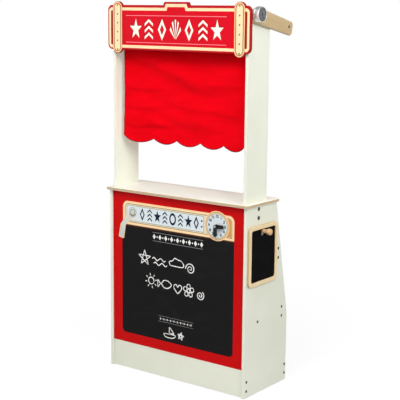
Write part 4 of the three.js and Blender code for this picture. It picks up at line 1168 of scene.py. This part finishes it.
bm = bmesh.new()
uv = bm.loops.layers.uv.new("cloth")
paths = [cloth_path(i / COLUMNS) for i in range(COLUMNS + 1)]
lengths = [runs(path) for path in paths]
grid = [[bm.verts.new(p) for p in path] for path in paths]
sheet_area = 0.0
for i in range(COLUMNS):
    for k in range(len(paths[0]) - 1):
        corners = ((i, k), (i + 1, k), (i + 1, k + 1), (i, k + 1))
        face = bm.faces.new([grid[column][row] for column, row in corners])
        sheet_area += face.calc_area() * MM * MM
        for loop, (column, row) in zip(face.loops, corners):
            loop[uv].uv = (2 * CURTAIN_HALF * column / COLUMNS * MM, lengths[column][row] * MM)
curtain = finished(
    "curtain_cloth", bm, ["curtain"], "curtain", smooth=180, weld=False, level=False,
)
modify(curtain, "thickness", "SOLIDIFY", thickness=CLOTH * MM, offset=0.0)

# Rolled edge round the scallops, and rows of short stitches on it and along the pocket's seam

HEM_ROLL, STITCH, STITCH_LENGTH, STITCH_PITCH, STITCH_BULGE = 1.2, 0.28, 2.1, 3.0, 0.12
left_edge, right_edge = paths[0][SEAM_ROW:-2], paths[-1][SEAM_ROW:-2]
bm = bmesh.new()
# The roll's finish is far darker than the cloth: painted shade along the turned edge
sweep(bm, [*left_edge, *(path[-1] for path in paths), *reversed(right_edge)], HEM_ROLL, 8)
hem_roll = finished("curtain_hem_roll", bm, ["hem"], smooth=180, level=False)


def stitches(bm, path, offset):
    path = [p + Vector(offset) for p in path]
    following = 0.0
    for p, q, run in zip(path, path[1:], runs(path)):
        gap = (q - p).length
        while following + STITCH_LENGTH < run + gap:
            start = p + (q - p) * max(0.0, (following - run) / gap)
            end = p + (q - p) * min(1.0, (following + STITCH_LENGTH - run) / gap)
            sweep(bm, [start, (start + end) / 2 - Vector((0, STITCH_BULGE, 0)), end], STITCH, 6)
            following += STITCH_PITCH


# Rows of the grid, and how far the stitches lie from them
STITCHED = (
    (STITCH_ROW, (0, -0.55, 0)), (STITCH_ROW, (0, 0.55, 0)), (SEAM_ROW, (0, -0.6, 0)),
    (SEAM_ROW, (0, 2.3, -1)),
)
bm = bmesh.new()
for row, offset in STITCHED:
    stitches(bm, [path[row] for path in paths], offset)
threads = finished("curtain_stitching", bm, ["thread"], smooth=60, level=False)

# Awning arms, drawn level and then turned to their droop

ARM_INNER, ARM_THICK, ARM_EASE = upright_high.x + GAP, 9.0, 2.8
ARM_TAIL, ARM_REACH, BAR_REACH, BAR_RISE = 14.0, 207.0, 186.0, 1.8
TAIL_RISE, TAIL_DEPTH, TAIL_RADIUS, TAIL_TOP_RADIUS = 23.4, 27.7, 10.0, 26.0
END_RISE, END_DEPTH, END_RADIUS = 20.7, 23.0, 13.0
BAR_RADIUS, BAR_BORE, ARM_BORE, ARM_SEAT, ARM_SEAT_DEEP, ARM_SCREW_SUNK = 8.0, 2.4, 2.3, 4.4, 2.6, 0.35
ARM_OUTER = ARM_INNER + ARM_THICK
arm_turn = Matrix.Translation((0, pivot.y, pivot.z)) @ Matrix.Rotation(-DROOP, 4, "X")
arm_outline = rounded([
    (-ARM_TAIL, -TAIL_DEPTH, TAIL_RADIUS), (ARM_REACH, -END_DEPTH, END_RADIUS),
    (ARM_REACH, END_RISE, END_RADIUS), (-ARM_TAIL, TAIL_RISE, TAIL_TOP_RADIUS),
])
arm_holes = [(0, 0, STUD_BORE), (BAR_REACH, BAR_RISE, ARM_BORE, ARM_SEAT, ARM_SEAT_DEEP)]
for side, way in SIDES:
    node = f"arm_{side}"
    bm = bmesh.new()
    slab(bm, "x", arm_outline, ARM_INNER, ARM_OUTER, ARM_EASE, arm_holes, (0, 0, 1, 1), 5)
    bm.transform(arm_turn)
    mirrored(bm, way)
    # The eased edges take the greyer finish, painted shading of the rounded edges
    finished(node + "_board", bm, ["beech_y", "arm_edge_shading"], node, "awning_arms")
    node = f"crossbar_screw_{side}"
    bm = bmesh.new()
    cross_head(bm, (way * (ARM_OUTER - ARM_SCREW_SUNK), BAR_REACH, BAR_RISE), (way, 0, 0))
    bm.transform(arm_turn)
    finished(node + "_cross", bm, ["yellow_zinc"], node, "awning_arms")

bar_half = ARM_INNER - GAP
bm = bmesh.new()
lathe(bm, tube(BAR_RADIUS, BAR_BORE, -bar_half, bar_half, DOWEL_EASE), (0, BAR_REACH, BAR_RISE))
bm.transform(arm_turn)
finished("arm_crossbar_dowel", bm, ["beech_x"], "arm_crossbar", "awning_arms")

# Clamp knobs, drawn from their outer end inwards

KNOB, KNOB_LONG, KNOB_WALL, KNOB_FLOOR, KNOB_BACK, KNOB_RIM, KNOB_SIDES = 23.0, 20.0, 1.6, 6.0, 3.0, 0.8, 96
CAP_LIP, CAP_DOME, STUD_HOLE, STUD_ROOM, RING_DEEP = 1.2, 1.2, 3.4, 8.0, 0.35
GROOVE_AT, GROOVE_DEEP, HOLLOW, HOLLOW_BACK, CAP_GROOVES = -15.0, 0.35, 3.3, 2.5, (17.0, 9.7)
cap_edge = KNOB - KNOB_WALL - GAP
knob_floor = KNOB_FLOOR - KNOB_LONG


def dome(radius):
    return radius, -CAP_LIP + CAP_DOME * (1 - (radius / cap_edge) ** 2)


shell = [
    (STUD_HOLE, -KNOB_LONG), *arc(KNOB - KNOB_BACK, KNOB_BACK - KNOB_LONG, KNOB_BACK, -90, 0, 6),
    (KNOB, GROOVE_AT - 0.4), (KNOB - GROOVE_DEEP, GROOVE_AT - 0.1),
    (KNOB - GROOVE_DEEP, GROOVE_AT + 0.3), (KNOB, GROOVE_AT + 0.6),
    *arc(KNOB - KNOB_RIM, -KNOB_RIM, KNOB_RIM, 0, 90, 6), (KNOB - KNOB_WALL + 0.3, 0.0),
    (KNOB - KNOB_WALL, -0.3), (KNOB - KNOB_WALL, knob_floor), (STUD_HOLE, knob_floor),
]
seat = knob_floor + GAP
cap_face = [(0.0, seat + STUD_ROOM), (STUD_HOLE, seat + STUD_ROOM), (STUD_HOLE, seat), (cap_edge, seat)]
cap_face += [(cap_edge, -CAP_LIP - 0.5), dome(cap_edge - 0.5)]
for groove in CAP_GROOVES:
    groove_floor = dome(groove)[1] - RING_DEEP
    cap_face += [dome(groove + 1.2), dome(groove + 0.4), (groove + 0.1, groove_floor)]
    cap_face += [(groove - 0.3, groove_floor), dome(groove - 0.6), dome(groove - 1.6)]
cap_face += [dome(5.5), dome(3.6), (3.1, -0.45), (2.5, -1.6), (0.0, -1.9)]

for side, way in SIDES:
    body, end_x = f"knob_{side}", ends(f"knob_shell_{side}", way)[0].x
    node = f"knob_shell_{side}"
    bm = bmesh.new()
    lathe(bm, shell, (end_x, pivot.y, pivot.z), sides=KNOB_SIDES, way=way)
    finished(node + "_turned", bm, ["chrome"], node, body)
    node = f"knob_cap_{side}"
    bm = bmesh.new()
    lathe(bm, cap_face, (end_x, pivot.y, pivot.z), sides=KNOB_SIDES, way=way)
    # The faces of the shallow middle dimple take the near-black finish: painted shade of a deep hole
    for face in bm.faces:
        center = face.calc_center_median()
        if (center.yz - pivot.yz).length < HOLLOW and abs(center.x) > abs(end_x) - HOLLOW_BACK:
            face.material_index = 1
    finished(node + "_turned", bm, ["cap", "dimple_shade"], node, body)

# Side chalkboard and its peg

FRAME_CORNER, WINDOW_CORNER, FRAME_EASE, SLATE_EASE, BOARD_HOLE = 14, 7, 1.2, 0.4, 11.0
PEG_RADIUS, NECK, TENON, TENON_LONG = 10.0, 6.5, 4.0, 9.4
lo, hi = box("chalkboard_frame")
slate_low, slate_high = box("chalkboard_slate")
_, peg_high = box("chalkboard_peg")
peg_y, peg_z = middle("chalkboard_peg").y, middle("chalkboard_peg").z
border = slate_low.y - lo.y - GAP
outline = rectangle(lo.y, lo.z, hi.y, hi.z, FRAME_CORNER)
window = rectangle(lo.y + border, lo.z + border, hi.y - border, hi.z - border, WINDOW_CORNER)
bm = bmesh.new()
slab(bm, "x", outline, lo.x, hi.x, FRAME_EASE, [window], (0, 0, 1, 0), 4)
finished("chalkboard_frame_ring", bm, ["frame", "frame_edge"], "chalkboard_frame", "chalkboard")

outline = rectangle(slate_low.y, slate_low.z, slate_high.y, slate_high.z, WINDOW_CORNER)
hole = (peg_y, peg_z - BOARD_HOLE + NECK + GAP, BOARD_HOLE)
bm = bmesh.new()
slab(bm, "x", outline, slate_low.x, slate_high.x, SLATE_EASE, [hole])
finished("chalkboard_slate_board", bm, ["slate"], "chalkboard_slate", "chalkboard")

shoulder = OUTER_X + GAP - peg_high.x
peg = [
    (0.0, shoulder - TENON_LONG), (TENON, shoulder - TENON_LONG), (TENON, shoulder), (NECK, shoulder),
    (NECK, -15.5), (NECK + 0.3, -14.0), (NECK + 1.2, -12.4), (NECK + 2.4, -11.2),
    *arc(PEG_RADIUS - 1.6, -9.4, 1.6, -70, 0, 5), (PEG_RADIUS, -2.6),
    *moved(arc(0, 0, 1, 15, 90, 5), PEG_RADIUS - 2.4, -2.4, 2.4, 2.1), (5.0, -0.08), (0.0, 0.0),
]
bm = bmesh.new()
lathe(bm, peg, (peg_high.x, peg_y, peg_z), sides=56)
finished("chalkboard_peg_turned", bm, ["peg"], "chalkboard_peg", smooth=40)

# Clock hands, spacer and pin

HAND_HALF, HAND_BORE, HAND_EASE, END_FLAT, SPACER_RADIUS, SPACER_EASE = 6, 2.3, 0.7, 0.1, 6.0, 0.4
RIB_START, RIB_END, RIB_HALF, RIB_RISE, RIB_SUNK, RIB_EASE = 9, 5, 1.7, 0.15, 0.2, 0.12
for node, body in (("clock_hour_hand", "hour_hand"), ("clock_minute_hand", "minute_hand")):
    lo, hi = box(node)
    is_level = body == "hour_hand"
    length = hi.x - CLOCK_X if is_level else CLOCK_Z - lo.z
    hand = rectangle(-HAND_HALF, -HAND_HALF, length, HAND_HALF, HAND_HALF - END_FLAT)
    rib = rectangle(RIB_START, -RIB_HALF, length - RIB_END, RIB_HALF, RIB_HALF - END_FLAT)
    bm = bmesh.new()
    slab(bm, "front", hand, -hi.y, -lo.y, HAND_EASE, [(0, 0, HAND_BORE)])
    slab(bm, "front", rib, -lo.y - RIB_SUNK, -lo.y + RIB_RISE, RIB_EASE, steps=2)
    if not is_level:
        bm.transform(Matrix.Rotation(math.pi / 2, 4, "Y"))
    bm.transform(Matrix.Translation((CLOCK_X, 0, CLOCK_Z)))
    finished(node + "_moulded", bm, ["black"], node, body)

lo, hi = box("clock_spacer")
bm = bmesh.new()
lathe(bm, tube(SPACER_RADIUS, HAND_BORE, lo.y, hi.y, SPACER_EASE), (CLOCK_X, 0, CLOCK_Z), "y")
finished("clock_spacer_moulded", bm, ["black"], "clock_spacer")

PIN, PIN_HEAD = 2.0, ((0.0, 0.0), (2.4, 0.1), (3.5, 0.5), (4.0, 1.1), (4.0, 1.5), (2.0, 1.5))
pin = [(radius, pin_low.y + along) for radius, along in PIN_HEAD] + [(PIN, pin_high.y), (0.0, pin_high.y)]
bm = bmesh.new()
lathe(bm, pin, (CLOCK_X, 0, CLOCK_Z), "y", sides=40)
finished("clock_pin_turned", bm, ["zinc"], "clock_pin")

# CAD nodes that keep their shape

KEPT = {
    "rod_insert_right": "brass", "rod_insert_left": "brass", "knob_stud_right": "zinc",
    "knob_stud_left": "zinc", "clock_nut": "zinc",
}
for node, finish in KEPT.items():
    materials = frame["nodes"][node].data.materials
    materials.clear()
    materials.append(looks[finish])

# Floor: white where the camera sees it, greyer under the object and for the light it throws back

FLOOR_HALF = 40.0
ground = Finish("floor_white", Roughness=0.9, Specular_IOR_Level=0.1)
rays = ground.add("LightPath").outputs
thrown_back, seen_directly = (0.45, 0.45, 0.45, 1.0), (0.94, 0.94, 0.94, 1.0)
ground.wire(Base_Color=ground.mix(rays["Is Camera Ray"], thrown_back, seen_directly))
away = ground.add("VectorMath", {0: ground.place}, operation="LENGTH").outputs["Value"]
seen = ground.math("ADD", rays["Is Camera Ray"], rays["Is Glossy Ray"], clamp=True)
seen = ground.math("ADD", seen, rays["Is Transmission Ray"], clamp=True)
glow_share = ground.times(seen, ground.span(away, 0.5, 1.8, 0.82, 1.0))
glow = ground.add("Emission", {"Color": FULL_LIGHT, "Strength": 1.0}).outputs[0]
blend = ground.add("MixShader", {0: glow_share, 1: ground.shader.outputs[0], 2: glow}).outputs[0]
ground.join(blend, ground.tree.nodes["Material Output"].inputs["Surface"])
bm = bmesh.new()
floor_corners = [(x * FLOOR_HALF, y * FLOOR_HALF, 0.0) for x, y in ((-1, -1), (1, -1), (1, 1), (-1, 1))]
bm.faces.new([bm.verts.new(corner) for corner in floor_corners])
floor = placed("floor", plain_mesh(bm))
floor.data.materials.append(ground.material)

# Room: bright walls all round and a darker ceiling, which also show in polished metal, and white where
# the camera sees it

world = bpy.data.worlds.new("studio")
bpy.context.scene.world = world
room = Nodes(world)
up = room.add("SeparateXYZ", {0: room.add("TexCoord").outputs["Generated"]}).outputs[2]
walls = room.tree.nodes["Background"]
room.join(room.ramp(up, ((0.18, FULL_LIGHT), (0.75, (0.52, 0.52, 0.53, 1.0)))), walls.inputs["Color"])
room.join(0.50, walls.inputs["Strength"])
white = room.add("Background", {"Color": FULL_LIGHT})
rays = room.add("LightPath").outputs
seen = room.math("MAXIMUM", rays["Is Camera Ray"], rays["Is Transmission Ray"])
blend = room.add("MixShader", {0: seen, 1: walls.outputs[0], 2: white.outputs[0]}).outputs[0]
room.join(blend, room.tree.nodes["World Output"].inputs["Surface"])

# Lamps: name, place, height of the place on the middle axis that they point to, size and watts

LAMPS = (
    ("key", (0.5, -2.1, 3.2), 0.9, 1.2, 60),
    ("side", (2.4, -1.0, 2.0), 0.9, 1.4, 47),
    ("fill", (-2.4, -2.4, 1.8), 0.8, 2.2, 27),
    ("back", (0.5, 3.0, 1.6), 0.7, 2.0, 40),
    ("left", (-3.0, 0.2, 1.6), 0.7, 2.0, 34),
)
for name, place, target_z, size, watts in LAMPS:
    light = bpy.data.lights.new(name, "AREA")
    light.shape = "SQUARE"
    light.size = size
    light.energy = watts
    lamp = placed(name, light)
    lamp.location = place
    lamp.rotation_euler = (Vector((0, 0, target_z)) - Vector(place)).to_track_quat("-Z", "Y").to_euler()

# Camera, solved from the photograph: its focal length is in pixels of a frame 400 pixels wide

CAMERA_AT = Vector((2.01895, -2.71236, 1.19705))
YAW, PITCH, ROLL = math.radians(36.60), math.radians(10.23), math.radians(-0.52)
FOCAL, FRAME_WIDTH, SENSOR = 1053.71, 400, 36
forward = Vector((-math.sin(YAW) * math.cos(PITCH), math.cos(YAW) * math.cos(PITCH), -math.sin(PITCH)))
right = Vector((math.cos(YAW), math.sin(YAW), 0))
down = forward.cross(right)
across = right * math.cos(ROLL) + down * math.sin(ROLL)
up = right * math.sin(ROLL) - down * math.cos(ROLL)
lens = bpy.data.cameras.new("camera")
lens.sensor_width = SENSOR
lens.lens = SENSOR * FOCAL / FRAME_WIDTH
camera = placed("camera", lens)
camera.matrix_world = Matrix.Translation(CAMERA_AT) @ Matrix((across, up, -forward)).transposed().to_4x4()
bpy.context.scene.camera = camera
bpy.context.scene.view_settings.view_transform = "Standard"
